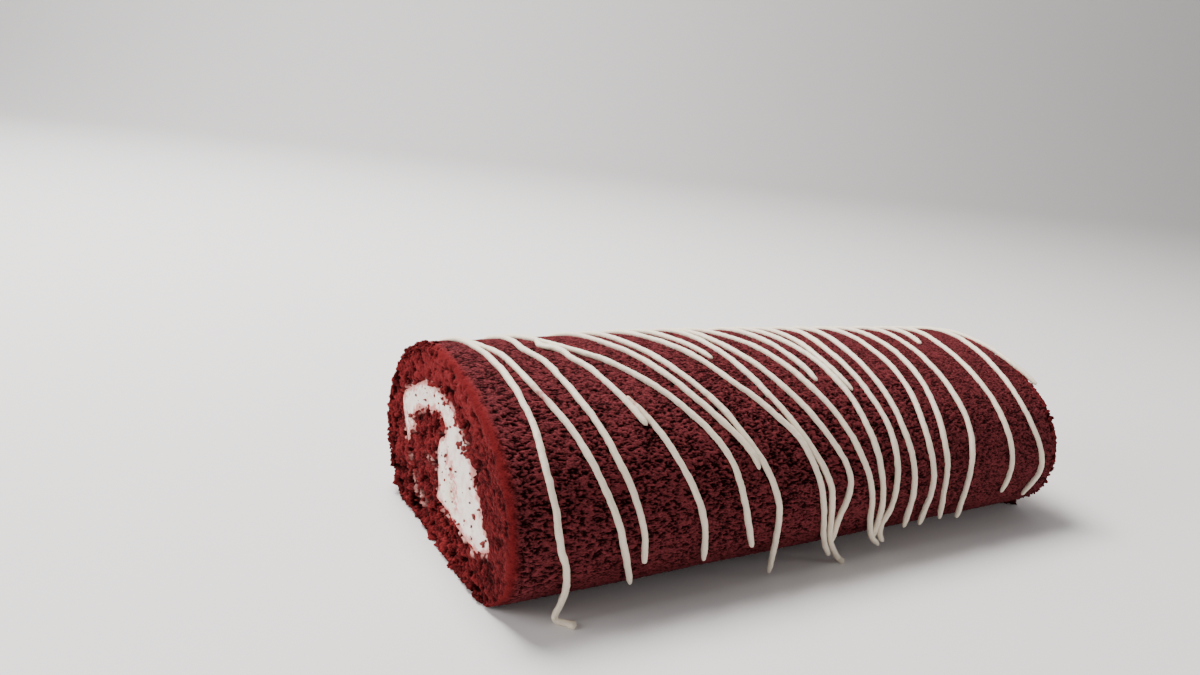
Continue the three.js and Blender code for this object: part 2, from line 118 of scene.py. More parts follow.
# Each line of drizzle from the crest down the front: (way round, x), where the way round is 0 at the front
# foot, 0.5 at the top and 1 at the back foot. A line that starts at the crest goes on down the back.
LINES = [
    [(0.55, -116.2), (0.45, -115), (0.35, -113.5), (0.25, -112.8), (0.15, -109.9), (0.108, -106.9),
     (0.077, -106), (0.046, -106.7), (0.009, -109.2)],
    [(0.55, -115), (0.5, -111.6), (0.459, -110), (0.42, -109), (0.385, -107.3), (0.35, -104.8),
     (0.295, -100.4), (0.25, -97), (0.15, -88.7), (0.05, -82.8)],
    [(0.55, -99.8), (0.5, -100.6), (0.45, -97.9), (0.396, -96.2), (0.35, -94.1), (0.3, -91.1),
     (0.25, -88), (0.15, -80.7), (0.09, -79)],
    [(0.55, -90.6), (0.512, -92.4), (0.499, -88.6), (0.478, -87.4), (0.457, -87.4), (0.43, -84.5),
     (0.386, -81.5), (0.35, -78.8), (0.3, -74.5)],
    [(0.55, -91), (0.525, -88.7), (0.493, -84.5), (0.44, -75.4), (0.4, -69.3), (0.35, -61.6),
     (0.314, -56.6), (0.273, -50.5), (0.232, -45.9), (0.2, -43.8), (0.15, -40.3), (0.08, -35.2)],
    [(0.352, -77.5), (0.326, -74.8), (0.304, -72.3), (0.277, -69.3), (0.25, -66.8), (0.15, -57.8),
     (0.07, -55)],
    [(0.55, -69.8), (0.5, -66.6), (0.45, -62.3), (0.4, -57.8), (0.348, -52.7), (0.306, -47.2),
     (0.267, -40.9), (0.235, -36.6), (0.217, -35.4)],
    [(0.55, -61.2), (0.45, -55.6), (0.37, -48.9), (0.318, -43.3), (0.272, -38.6), (0.234, -34.2),
     (0.195, -30), (0.15, -26.4), (0.006, -24.6)],
    [(0.55, -48), (0.45, -40.2), (0.368, -32.9), (0.335, -28), (0.294, -21.9), (0.25, -14.7),
     (0.15, -6.6), (0.063, -1.6), (0.02, 3)],
    [(0.55, -39.4), (0.45, -33.9), (0.425, -32.8)],
    [(0.55, -27.5), (0.45, -26.2), (0.365, -22.7), (0.315, -19.1), (0.25, -12.4), (0.184, -4.6),
     (0.112, -1.1), (0.06, 1.2), (0.01, 7.5)],
    [(0.55, -22.5), (0.45, -19.4), (0.362, -13), (0.317, -8.9), (0.25, -1.5), (0.19, 5), (0.151, 4.6),
     (0.115, 2.6), (0.055, 2.7)],
    [(0.55, -13), (0.45, -6.5), (0.35, 0), (0.25, 8.5), (0.153, 16.8), (0.093, 19.1), (0.052, 22.1),
     (0.019, 28)],
    [(0.55, 1.5), (0.45, 3), (0.355, 5.5)],
    [(0.55, 10.5), (0.45, 12.2), (0.35, 15.2), (0.25, 18), (0.172, 21.2), (0.114, 23.9),
     (0.071, 23.5), (0.044, 24.1)],
    [(0.55, 19.5), (0.45, 17), (0.4, 16.5), (0.33, 19)],
    [(0.55, 31.5), (0.45, 26), (0.35, 25.7), (0.25, 28), (0.151, 28.8), (0.11, 28.3), (0.074, 25.9),
     (0.041, 27.4), (0.027, 30)],
    [(0.55, 42), (0.45, 36), (0.35, 34.5), (0.25, 35), (0.15, 38.5), (0.054, 39)],
    [(0.55, 54.5), (0.45, 50.3), (0.35, 48.5), (0.25, 46), (0.15, 48.5), (0.053, 47.6)],
    [(0.55, 65.5), (0.45, 61.5), (0.35, 58.5), (0.25, 55), (0.15, 55.8), (0.059, 58.4)],
    [(0.55, 80), (0.45, 74), (0.35, 71), (0.25, 70.5), (0.15, 68.7), (0.052, 68.8)],
    [(0.55, 92), (0.5, 87.5), (0.46, 83.5)],
    [(0.55, 102.5), (0.45, 94), (0.35, 90.8), (0.25, 91.5), (0.158, 93.7), (0.103, 91.9)],
    [(0.55, 120), (0.45, 112.5), (0.35, 107.5), (0.25, 107.2), (0.158, 113.2), (0.133, 112.2),
     (0.106, 108.8), (0.083, 106.5)],
    [(0.55, 123.5), (0.5, 123.5), (0.45, 122.3), (0.373, 122), (0.35, 123), (0.315, 124)],
]

# The two lines that run on over the floor: how far along x and y from where they land
FEET = {0: (6.2, -4.6), 10: (1.6, -2.4)}

# Lines that are thicker in one place: the way round, how much wider, and over how much of the way
BLOBS = {1: (0.37, -0.28, 0.012), 3: (0.504, 0.7, 0.012), 5: (0.355, -0.45, 0.025), 8: (0.555, 0.2, 0.02)}

# Lines that are rubbed with crumb: how far along in mm, and over how much of the way
STAINED = {1: (114.5, 4.5), 5: (0.0, 8.5)}

# Step along a line, columns round it, and how high its middle lies above the skin
BEAD_STEP, BEAD_COLUMNS, BEAD_LIFT = 0.5, 18, 0.5

# Steps of a line's path and of its foot, before they are made even
PATH_STEPS, FOOT_STEPS = 900, 60

# How often a line's path and its directions are softened
SOFTEN_PATH, SOFTEN_OUT = 22, 8

# How the lines go on down the unseen back, and where they leave the flanks
CREST = 0.55
BACK_SLANT = 0.45
BACK_STOP = 0.74
BACK_SPREAD = 0.18
GOLDEN = 0.618
BACK_REACH = 119.0
FALL_FROM = 0.14
FALL_LEAN = 0.12


# Noise and small helpers


def smooth(low, high, value):
    """0 below low and 1 above high, with an S-shaped climb between: 3 t^2 - 2 t^3."""
    t = np.clip((value - low) / (high - low), 0, 1)
    return t * t * (3 - 2 * t)


def chance(n):
    """A whole number to 0..1: the part of a large sine after its point."""
    s = math.sin(n * 127.1 + 11.7) * 43758.5453
    return s - math.floor(s)


def lattice(i, j, k, seed):
    """Three whole numbers to 0..1: each is multiplied by a prime, and the bits are folded together."""
    h = i.astype(np.int64).astype(np.uint32) * np.uint32(73856093)
    h ^= j.astype(np.int64).astype(np.uint32) * np.uint32(19349663)
    h ^= k.astype(np.int64).astype(np.uint32) * np.uint32(83492791)
    h ^= np.uint32((seed * 2654435761) % 4294967296)
    h ^= h >> np.uint32(16)
    h *= np.uint32(2246822519)
    h ^= h >> np.uint32(13)
    h *= np.uint32(3266489917)
    h ^= h >> np.uint32(16)
    return h.astype(np.float64) / 4294967296.0


def soft_noise(points, size, seed):
    """Smooth bumps from -1 to 1, one to about size mm: lattice values blended by an S-curve on each axis."""
    q = np.asarray(points) / size
    corner = np.floor(q)
    f = q - corner
    f = f * f * (3 - 2 * f)
    total = np.zeros(q.shape[:-1])
    for a, b, c in product((0, 1), repeat=3):
        weight = f[..., 0] if a else 1 - f[..., 0]
        weight = weight * (f[..., 1] if b else 1 - f[..., 1])
        weight = weight * (f[..., 2] if c else 1 - f[..., 2])
        total += weight * lattice(corner[..., 0] + a, corner[..., 1] + b, corner[..., 2] + c, seed)
    return total * 2 - 1


def cells(points, size, seed):
    """Distance to the nearest and the second nearest of scattered seeds, one to a cube of size mm, measured
    in sides of the cube."""
    q = np.asarray(points) / size
    home = np.floor(q)
    first = np.full(q.shape[:-1], 9.0)
    second = np.full(q.shape[:-1], 9.0)
    for a, b, c in product((-1, 0, 1), repeat=3):
        i, j, k = home[..., 0] + a, home[..., 1] + b, home[..., 2] + c
        away = (i + lattice(i, j, k, seed) - q[..., 0]) ** 2
        away += (j + lattice(i, j, k, seed + 101) - q[..., 1]) ** 2
        away += (k + lattice(i, j, k, seed + 202) - q[..., 2]) ** 2
        second = np.minimum(second, np.maximum(first, away))
        first = np.minimum(first, away)
    return np.sqrt(first), np.sqrt(second)


def curve_through(knots, count):
    """Points at even steps on a smooth curve through the knots: each span is a cubic whose slope at a knot is
    half the way between the knots on either side."""
    knots = np.asarray(knots, float)
    t = np.linspace(0, len(knots) - 1, count)
    i = np.minimum(t.astype(int), len(knots) - 2)
    f = (t - i).reshape((-1,) + (1,) * (knots.ndim - 1))
    last = len(knots) - 1
    a, b = knots[i], knots[i + 1]
    before, after = knots[np.maximum(i - 1, 0)], knots[np.minimum(i + 2, last)]
    bend = 2 * before - 5 * a + 4 * b - after + f * (3 * (a - b) + after - before)
    return a + 0.5 * f * (b - before + f * bend)


def soft_spots(spots, y, z):
    """Soft ovals (y, z, half width, half height) added up: each is a bell curve about its middle."""
    total = np.zeros(np.shape(y))
    for middle_y, middle_z, wide, high in spots:
        total += np.exp(-(((y - middle_y) / wide) ** 2) - ((z - middle_z) / high) ** 2)
    return total


def with_poles(values, first, last):
    """A value at each point of a grid, and at the two points that come after it."""
    return np.concatenate([np.asarray(values).ravel(), [first, last]])


# The roll's skin


def section_at(x):
    """Sizes of the roll's section at x: widths run straight from end to end, and the height sinks late."""
    t = np.asarray(x, float) / LENGTH + 0.5
    sink = np.maximum(0, (t - SINK_FROM) / (1 - SINK_FROM)) ** SINK_POWER
    front = NEAR_FRONT + (FAR_FRONT - NEAR_FRONT) * t
    back = NEAR_BACK + (FAR_BACK - NEAR_BACK) * t
    height = NEAR_HEIGHT - (NEAR_HEIGHT - FAR_HEIGHT) * sink
    return height, front, back, front - FOOT_INSET_FRONT - FOOT_TAPER * t, back - FOOT_INSET_BACK


def side_curve(x, side, v):
    """One side of the section from foot to top: a power curve up to the widest place, then a quarter of an
    oval, cos(turn) across and sin(turn) up, on the back to the power 2 / fullness."""
    height, front, back, foot_front, foot_back = section_at(x)
    wide = front if side < 0 else back
    foot = foot_front if side < 0 else foot_back
    middle = (back - front) / 2
    depth = np.clip(1 - v / FLANK_PART, 0, 1)
    turn = np.clip((v - FLANK_PART) / (1 - FLANK_PART), 0, 1) * math.pi / 2
    power = 1.0 if side < 0 else 2 / BACK_FULLNESS
    over = middle + (side * wide - middle) * np.maximum(0, np.cos(turn)) ** power
    low = v < FLANK_PART
    y = np.where(low, side * (wide - (wide - foot) * depth**FLANK_POWER), over)
    z = np.where(low, WIDEST_AT * (1 - depth), WIDEST_AT + (height - WIDEST_AT) * np.sin(turn) ** power)
    return y, z


SKIN_STATIONS = np.linspace(-140, 140, 57)
SKIN_WAYS = 400


def skin_table():
    """(y, z) of the skin at even x and even ways round. Each half of the way is measured along the skin."""
    table = np.zeros((len(SKIN_STATIONS), SKIN_WAYS + 1, 2))
    v = np.linspace(0, 1, 161)
    half = SKIN_WAYS // 2
    part = np.linspace(0, 1, half + 1)
    for row, x in enumerate(SKIN_STATIONS):
        for side in (-1, 1):
            y, z = side_curve(x, side, v)
            length = np.concatenate([[0], np.cumsum(np.hypot(np.diff(y), np.diff(z)))])
            at = part * length[-1]
            points = np.stack([np.interp(at, length, y), np.interp(at, length, z)], -1)
            if side < 0:
                table[row, : half + 1] = points
            else:
                table[row, half:] = points[::-1]
    return table


SKIN = skin_table()


def skin_point(x, u):
    """(y, z) of the skin at x and way round u, blended between the four nearest entries of the table."""
    x, u = np.broadcast_arrays(np.asarray(x, float), np.asarray(u, float))
    first, second = SKIN_STATIONS[:2]
    row = np.clip((x - first) / (second - first), 0, len(SKIN_STATIONS) - 1.001)
    column = np.clip(u, 0, 1) * SKIN_WAYS
    i = row.astype(int)
    j = np.minimum(column.astype(int), SKIN_WAYS - 1)
    a, b = (row - i)[..., None], (column - j)[..., None]
    low = SKIN[i, j] * (1 - b) + SKIN[i, j + 1] * b
    high = SKIN[i + 1, j] * (1 - b) + SKIN[i + 1, j + 1] * b
    return low * (1 - a) + high * a


def skin_out(x, u):
    """Direction out of the skin in its section, (y, z): the way along the skin turned by a right angle."""
    u, step = np.asarray(u), 0.01
    along = skin_point(x, np.minimum(u + step, 1)) - skin_point(x, np.maximum(u - step, 0))
    out = np.stack([-along[..., 1], along[..., 0]], -1)
    return out / np.linalg.norm(out, axis=-1, keepdims=True)


def near_cut(y, z):
    """x of the near cut at a place of the section. It is flat in the middle, comes out at its back and top,
    and draws back at its front and foot, each by a power of how far the place is across or up."""

    def climb(low, high, value):
        return np.clip((value - low) / (high - low), 0, 1)

    x = NEAR_CUT_AT - 3.5 * climb(15, 60, y) ** 1.3 + 1.6 * climb(-25, -57, y) ** 1.5
    return x + 2.4 * climb(-30, -50, y) * climb(30, 0, z) - 1.5 * climb(50, 70, z)


def far_cut(y, z):
    """x of the far cut's plane at a place of the section."""
    return LENGTH / 2 + FAR_CUT_SLANT * y + 0 * z


def rings(places, insets, columns, base_columns):
    """Rows of points round the roll: the skin drawn in by each row's inset, then the flat underside back to
    the start. places holds a function from y and z to x for each row. Gives the points, the directions out
    and each column's way round, which is -1 on the underside."""
    u = np.linspace(0, 1, columns)
    x0 = np.array([float(place(0.0, HEART[1])) for place in places])
    yz = skin_point(x0[:, None], u[None])
    out = skin_out(x0[:, None], u[None])
    held = 0.3 + 0.7 * smooth(0, 0.13, np.minimum(u, 1 - u))
    inset = np.asarray(insets)[:, None, None] * held[None, :, None]
    yz = yz - inset * out
    yz[..., 1] = np.maximum(yz[..., 1], 0)
    t = (np.arange(base_columns) + 1)[None, :, None] / (base_columns + 1)
    base = yz[:, -1:] * (1 - t) + yz[:, :1] * t
    base_out = np.broadcast_to(np.array([0.0, -1.0]), base.shape)
    yz = np.concatenate([yz, base], 1)
    out = np.concatenate([out, base_out], 1)
    x = np.stack([place(row[:, 0], row[:, 1]) for place, row in zip(places, yz)])
    ways = np.concatenate([u, np.full(base_columns, -1.0)])
    return np.concatenate([x[..., None], yz], -1), out, np.broadcast_to(ways, x.shape)


# The sponge's relief


def skin_relief(p, torn, way, settings):
    """How far the skin stands out and its crag shading: rows of crumb with short pores drawn out along the
    roll, closer and deeper down the flanks, and more even towards the far end. The shading paints shade into
    the pores, a painted highlight on the crumb between them, and painted shade on the top, darker than the
    flanks."""
    pore_depth = settings.pore_depth / MM
    along = p * np.array([0.42, 1.0, 1.0])
    flank = smooth(0.5, 0.2, np.where(way < 0, 0.1, np.minimum(way, 1 - way)))
    far = smooth(-20, 95, p[..., 0])
    rows = 0.6 * soft_noise(along, 0.46, 3) + 0.46 * soft_noise(along, 0.3, 4)
    rows = rows + 0.16 * soft_noise(along, 1.1, 7)
    rows = rows - 0.1 * (flank - 0.5) - 0.08 * soft_noise(p, 9, 6)
    pores = smooth(-0.05, -0.55, rows)
    stand = 0.5 * pore_depth * np.clip(rows, -0.1, 0.6) + 0.24 * soft_noise(p, 10, 5)
    stand = stand - pore_depth * (0.5 + 0.5 * flank) * (1 - 0.45 * far) * pores
    # Painted shade and highlight: pores darker, the crumb between them lighter, and the top darker than the
    # flanks
    crag = 0.47 + 0.42 * rows - (0.13 + 0.2 * flank) * pores + 0.1 * flank
    return stand, crag + 0.45 * (far * (1 - torn)) * (0.57 - crag)


def torn_relief(p, coarse, fine, settings):
    """How far a torn cut stands out and its crag shading: rounded lumps of two sizes with holes between them,
    as high as coarse says, and the fine grain on them. The shading paints highlights on the lumps, shade in
    the holes and in the seams between bits, painted light on the top of the cut and painted shade at its
    foot."""
    torn_depth = settings.torn_depth / MM
    lump_near, _ = cells(p + 0.6 * soft_noise(p, 1.5, 31)[..., None], 2.1, 21)
    bit_near, bit_next = cells(p, 1.0, 22)
    holes = smooth(0.12, 0.62, soft_noise(p, 2.3, 23) + 0.5 * soft_noise(p, 1.1, 24))
    lumps = 1.05 * (0.55 - lump_near) + 0.85 * (0.55 - bit_near) + 0.5 * soft_noise(p, 3.4, 27)
    stand = torn_depth * coarse * (lumps - 1.6 * holes) + 0.3 * soft_noise(p, 7, 25)
    stand = stand + torn_depth * 0.26 * fine
    # Painted highlight on the lumps and painted shade in the holes
    crag = 0.59 + coarse * (0.55 * lumps - 1.0 * holes) + (0.38 - 0.1 * coarse) * fine
    # Painted light on the top of the cut, a little lighter towards the back, and painted shade at its foot
    crag = crag + 0.4 * smooth(48, 64, p[..., 2]) + 0.06 * smooth(20, 45, p[..., 1])
    crag = crag - 0.1 * smooth(20, 8, p[..., 2])
    # Painted shade in the seams between crumb bits
    return stand, crag - 0.2 * (1 - smooth(0.04, 0.22, bit_next - bit_near))


def sponge_relief(p, torn, coarse, rim, way, settings):
    """How far the sponge stands out at each point in mm, and its crag shading from 0 in a pore to 1 on a
    peak, which the material paints as shade and highlight: skin and torn crumb, blended by torn. Along the
    rim both are pressed smooth, and the rim's shading is raised, partly as a painted highlight."""
    fine = soft_noise(p, 0.8, 26)
    skin, skin_shading = skin_relief(p, torn, way, settings)
    lumps, torn_shading = torn_relief(p, coarse, fine, settings)
    stand = skin * (1 - torn) + lumps * torn
    crag = skin_shading * (1 - torn) + torn_shading * torn
    stand = stand * (1 - 0.75 * rim) + 0.1 * rim
    # The rim's shading is raised: pressed crumb, partly a painted highlight
    crag = crag * (1 - 0.7 * rim) + 0.7 * (0.6 + 0.3 * fine) * rim
    return stand, np.clip(crag, 0, 1)


# The filling's outline


def cream_grid(steps_along, steps_across, grow):
    """Grid over the filling's section: rows go along the band from the hook's end to the point, and straight
    lines across it from the outer edge to the inner one, each lengthened by grow mm at both ends."""
    edges = curve_through(CREAM_EDGES, steps_along)
    across = edges[:, 1] - edges[:, 0]
    width = np.linalg.norm(across, axis=-1, keepdims=True)
    reach = grow * across / width
    outer, inner = edges[:, 0] - reach, edges[:, 1] + reach
    t = np.linspace(0, 1, steps_across)[None, :, None]
    grid = outer[:, None] * (1 - t) + inner[:, None] * t
    grid[0, :, 1] -= 0.5 * grow
    grid[-1, :, 0] -= 0.5 * grow
    return grid


def cream_depth(y, z, height):
    """How far inside the filling's edge each place of a cut lies, negative outside: the distance to the
    nearest side of its outline, with its sign from counting how often a line to the right crosses the
    outline."""
    edges = curve_through(CREAM_EDGES, OUTLINE_STEPS)
    outline = np.concatenate([edges[:, 0], edges[::-1, 1]])
    z = z * NEAR_HEIGHT / height
    nearest = np.full(y.shape, 1e9)
    inside = np.zeros(y.shape, bool)
    for (ay, az), (by, bz) in zip(outline, np.roll(outline, -1, 0)):
        side_y, side_z = by - ay, bz - az
        part = ((y - ay) * side_y + (z - az) * side_z) / (side_y**2 + side_z**2 + 1e-9)
        part = np.clip(part, 0, 1)
        nearest = np.minimum(nearest, (y - ay - part * side_y) ** 2 + (z - az - part * side_z) ** 2)
        crosses = (az > z) != (bz > z)
        inside ^= crosses & (y < ay + (z - az) * side_y / (side_z if abs(side_z) > 1e-9 else 1e-9))
    return np.where(inside, 1, -1) * np.sqrt(nearest)


# Meshes


def grid_quads(index):
    """Quads of an open grid, from the numbers of its points."""
    return np.stack([index[:-1, :-1], index[1:, :-1], index[1:, 1:], index[:-1, 1:]], -1).reshape(-1, 4)


def ring_quads(rows, columns, closed_rows=False):
    """Quads of a grid whose columns close on themselves, and whose rows do too if closed_rows."""
    r = np.arange(rows if closed_rows else rows - 1)[:, None]
    c = np.arange(columns)[None]
    below = ((r + 1) % rows) * columns
    right = (c + 1) % columns
    here = r * columns
    corners = np.broadcast_arrays(here + c, here + right, below + right, below + c)
    return np.stack(corners, -1).reshape(-1, 4)


def pole_triangles(ring, pole, flip):
    """A fan of triangles that closes a ring of vertices with one vertex."""
    after = np.roll(ring, -1)
    fan = np.stack([ring, after, np.full(len(ring), pole)], -1)
    return fan[:, ::-1] if flip else fan


def pole_caps(rows, columns):
    """Fans that close the first and the last row of a grid with the two points that come after the grid."""
    count, ring = rows * columns, np.arange(columns)
    last_ring = count - columns + ring
    return np.concatenate([pole_triangles(ring, count, True), pole_triangles(last_ring, count + 1, False)])


def make_piece(name, points, quads, triangles, material, attributes=None, flat_quads=None):
    """Puts a closed mesh into the scene, in the frame's metres, and lets it ride on the frame. Its faces are
    turned over if the volume that they enclose comes out negative."""
    points = (np.asarray(points) + ROLL_TO_MODEL) * MM
    quads = np.asarray(quads, np.int32).reshape(-1, 4)
    triangles = np.asarray(triangles, np.int32).reshape(-1, 3)
    corners = np.concatenate([quads[:, :3], quads[:, [0, 2, 3]], triangles])
    a, b, c = (points[corners[:, i]] for i in range(3))
    if np.einsum("ij,ij->i", a, np.cross(b, c)).sum() < 0:
        quads, triangles = quads[:, ::-1], triangles[:, ::-1]
    mesh = bpy.data.meshes.new(name)
    mesh.vertices.add(len(points))
    mesh.vertices.foreach_set("co", points.astype(np.float32).ravel())
    loops = np.concatenate([quads.ravel(), triangles.ravel()]).astype(np.int32)
    mesh.loops.add(len(loops))
    mesh.loops.foreach_set("vertex_index", loops)
    starts = np.concatenate([np.arange(len(quads)) * 4, len(quads) * 4 + np.arange(len(triangles)) * 3])
    mesh.polygons.add(len(starts))
    mesh.polygons.foreach_set("loop_start", starts.astype(np.int32))
    smooth_faces = np.ones(len(starts), bool)
    if flat_quads is not None:
        smooth_faces[: len(quads)] = ~flat_quads
    mesh.polygons.foreach_set("use_smooth", smooth_faces)
    for key, values in (attributes or {}).items():
        attribute = mesh.attributes.new(key, "FLOAT", "POINT")
        attribute.data.foreach_set("value", np.asarray(values, np.float32).ravel())
    mesh.update(calc_edges=True)
    mesh.validate()
    mesh.materials.append(material)
    piece = bpy.data.objects.new(name, mesh)
    bpy.context.scene.collection.objects.link(piece)
    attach(piece, "root")
    return piece


# Materials


class Wire:
    """One output of a material's nodes. Sums and products of wires and numbers add Math nodes."""

    def __init__(self, tree, output=None):
        self.tree = tree
        self.output = output

    def node(self, kind, settings=None, sockets=None, output=0):
        """Adds a node of any kind, with its settings first and then its sockets' values or wires."""
        made = self.tree.nodes.new(kind)
        for name, value in (settings or {}).items():
            if name == "stops":
                ramp = made.color_ramp
                while len(ramp.elements) < len(value):
                    ramp.elements.new(1.0)
                for element, (place, colour) in zip(ramp.elements, value):
                    element.position = place
                    element.color = (*colour, 1.0)
            else:
                setattr(made, name, value)
        for name, value in (sockets or {}).items():
            if isinstance(value, Wire):
                self.tree.links.new(value.output, made.inputs[name])
            else:
                made.inputs[name].default_value = value
        return Wire(self.tree, made.outputs[output] if made.outputs else None)

    def reckon(self, operation, a, b, clamp=False):
        """Adds a Math node for a sum, a difference or a product."""
        return self.node("ShaderNodeMath", {"operation": operation, "use_clamp": clamp}, {0: a, 1: b})

    def __add__(self, other):
        return self.reckon("ADD", self, other)

    def __radd__(self, other):
        return self.reckon("ADD", other, self)

    def __sub__(self, other):
        return self.reckon("SUBTRACT", self, other)

    def __rsub__(self, other):
        return self.reckon("SUBTRACT", other, self)

    def __mul__(self, other):
        return self.reckon("MULTIPLY", self, other)

    def clamp(self):
        """The wire held between 0 and 1."""
        return self.reckon("ADD", self, 0.0, clamp=True)

    def mix(self, factor, first, second):
        """A colour between first and second."""
        settings = {"data_type": "RGBA", "blend_type": "MIX", "clamp_factor": True}
        first = first if isinstance(first, Wire) else (*first, 1.0)
        second = second if isinstance(second, Wire) else (*second, 1.0)
        return self.node("ShaderNodeMix", settings, {0: factor, 6: first, 7: second}, 2)

    def attribute(self, name):
        """A number kept at each vertex of the piece."""
        settings = {"attribute_name": name, "attribute_type": "GEOMETRY"}
        return self.node("ShaderNodeAttribute", settings, None, "Fac")

    def noise(self, scale, detail=3.0, stretch=(1.0, 1.0, 1.0), rough=0.5):
        """Noise over the piece's own coordinates, scale bumps to the metre."""
        place = self.node("ShaderNodeTexCoord", None, None, "Object")
        place = self.node("ShaderNodeMapping", {"vector_type": "POINT"}, {"Vector": place, "Scale": stretch})
        sockets = {"Vector": place, "Scale": scale, "Detail": detail, "Roughness": rough}
        return self.node("ShaderNodeTexNoise", {"noise_dimensions": "3D"}, sockets, "Fac")


def start_material(name):
    """An empty material and a wire to build its nodes with."""
    material = bpy.data.materials.new(name)
    material.use_nodes = True
    material.node_tree.nodes.clear()
    return material, Wire(material.node_tree)


def end_material(wire, sockets):
    """Closes a material with a Principled shader on its output."""
    shader = wire.node("ShaderNodeBsdfPrincipled", None, sockets, "BSDF")
    wire.node("ShaderNodeOutputMaterial", None, {"Surface": shader})


def crumb_colour(wire, shade, pores, colour, dark, full, light):
    """Colour of crumb by its shade: the pores' painted shade at 0, its own colour at full, and that times
    light at 1 as a painted highlight. At dark's first number it is its own colour times dark's second."""
    stops = [
        (0.0, tuple(pores)),
        (dark[0], tuple(c * dark[1] for c in colour)),
        (full, tuple(colour)),
        (1.0, tuple(min(1, c * light) for c in colour)),
    ]
    return wire.node("ShaderNodeValToRGB", {"stops": stops}, {"Fac": shade}, "Color")


def ripples(wire, height, strength, depth):
    """Fine bumps in the light on a surface, up to depth metres high."""
    sockets = {"Strength": strength, "Distance": depth, "Height": height}
    return wire.node("ShaderNodeBump", None, sockets, "Normal")


def sponge_material(settings):
    """Red sponge: painted shade near black in the pores, dark red on the skin, painted highlights on peaks,
    and along the pressed rim a brighter red that is partly a painted highlight.
    """
    material, wire = start_material("red_sponge")
    crag = wire.attribute("crag")
    fine = wire.noise(2600, 1.5, (0.5, 1.0, 1.0))
    cloud = wire.noise(90, 2.0)
    # Painted shade in the pores and painted highlights on peaks follow the crag shading
    shade = (crag + (fine - 0.5) * 1.1 + (cloud - 0.5) * 0.16).clamp()
    skin = crumb_colour(wire, shade, settings.pore_shade_colour, settings.skin_colour, (0.33, 0.15), 0.62, 1.8)
    cut = crumb_colour(wire, shade, settings.pore_shade_colour, settings.cut_colour, (0.26, 0.35), 0.58, 1.9)
    colour = wire.mix(wire.attribute("torn"), skin, cut)
    # The pressed rim's own red, brighter where the crumb is lit: partly a painted highlight
    pressed = (wire.attribute("rim") * (0.3 + shade * 0.6)).clamp()
    colour = wire.mix(pressed, colour, tuple(settings.rim_and_highlight_colour))
    smeared = (wire.attribute("smear") * (0.4 + fine)).clamp()
    sockets = {
        "Base Color": wire.mix(smeared, colour, tuple(settings.smear_colour)),
        "Roughness": 0.95 - shade * 0.12,
        "Normal": ripples(wire, fine, 0.6, 0.0004),
        "Specular IOR Level": 0.04,
    }
    end_material(wire, sockets)
    return material


def cream_material(settings):
    """Whipped cream: matte white with a faint grain, pink where crumb stains it, and yellow in one place."""
    material, wire = start_material("whipped_cream")
    fine = wire.noise(900, 3.0)
    cloud = wire.noise(180, 2.0)
    colour = wire.mix((cloud * 0.6).clamp(), tuple(settings.colour), tuple(c * 0.93 for c in settings.colour))
    colour = wire.mix((wire.attribute("butter") * 0.9).clamp(), colour, tuple(settings.butter_colour))
    stained = (wire.attribute("stain") * (0.5 + fine)).clamp()
    sockets = {
        "Base Color": wire.mix(stained, colour, tuple(settings.stain_colour)),
        "Roughness": 0.5 + fine * 0.2,
        "Normal": ripples(wire, fine, 0.5, 0.0003),
        "Subsurface Weight": 0.15,
        "Subsurface Radius": (0.002, 0.0015, 0.0012),
    }
    end_material(wire, sockets)
    return material


def drizzle_material(settings):
    """Set icing: matte off-white, a little uneven in tone, with fine ripples."""
    material, wire = start_material("white_drizzle")
    fine = wire.noise(1100, 3.0)
    cloud = wire.noise(160, 2.0)
    colour = wire.mix((cloud * 0.9).clamp(), tuple(settings.colour), tuple(c * 0.9 for c in settings.colour))
    stained = (wire.attribute("stain") * (0.4 + fine)).clamp()
    sockets = {
        "Base Color": wire.mix(stained, colour, tuple(settings.stain_colour)),
        "Roughness": 0.42 + cloud * 0.25,
        "Normal": ripples(wire, fine, 0.35, 0.0003),
        "Subsurface Weight": 0.1,
        "Subsurface Radius": (0.0015, 0.0012, 0.0009),
    }
    end_material(wire, sockets)
    return material


# What a user may change


def length_of(name, description, default):
    """A length in metres that a user may change."""
    return FloatProperty(name=name, description=description, default=default, unit="LENGTH", precision=5)


def colour_of(name, description, default):
    """A colour that a user may change."""
    return FloatVectorProperty(
        name=name, description=description, default=default, subtype="COLOR", min=0, max=1)


class SpongeSettings(PropertyGroup):
    """Grids, relief and colours of the sponge"""

    grid: length_of("Grid", "Distance between points round the roll", 0.00026)
    cut_grid: length_of("Cut grid", "Distance between points on the cuts", 0.00037)
    pore_depth: length_of("Pore depth", "How deep the skin's pores go", 0.00075)
    torn_depth: length_of("Torn depth", "Height of the lumps on the torn cuts", 0.001)
    skin_colour: colour_of("Skin", "Colour of the outside", (0.125, 0.0215, 0.0255))
    cut_colour: colour_of("Cut", "Colour of the torn cuts", (0.105, 0.0105, 0.0118))
    # Pressed rim, partly a painted highlight
    rim_and_highlight_colour: colour_of("Rim", "Colour of the pressed rim", (0.122, 0.0085, 0.0098))
    # Painted shade in the pores
    pore_shade_colour: colour_of("Pores", "Colour in the pores", (0.012, 0.001, 0.0015))
    smear_colour: colour_of("Smears", "Cream rubbed into the crumb", (0.72, 0.36, 0.32))


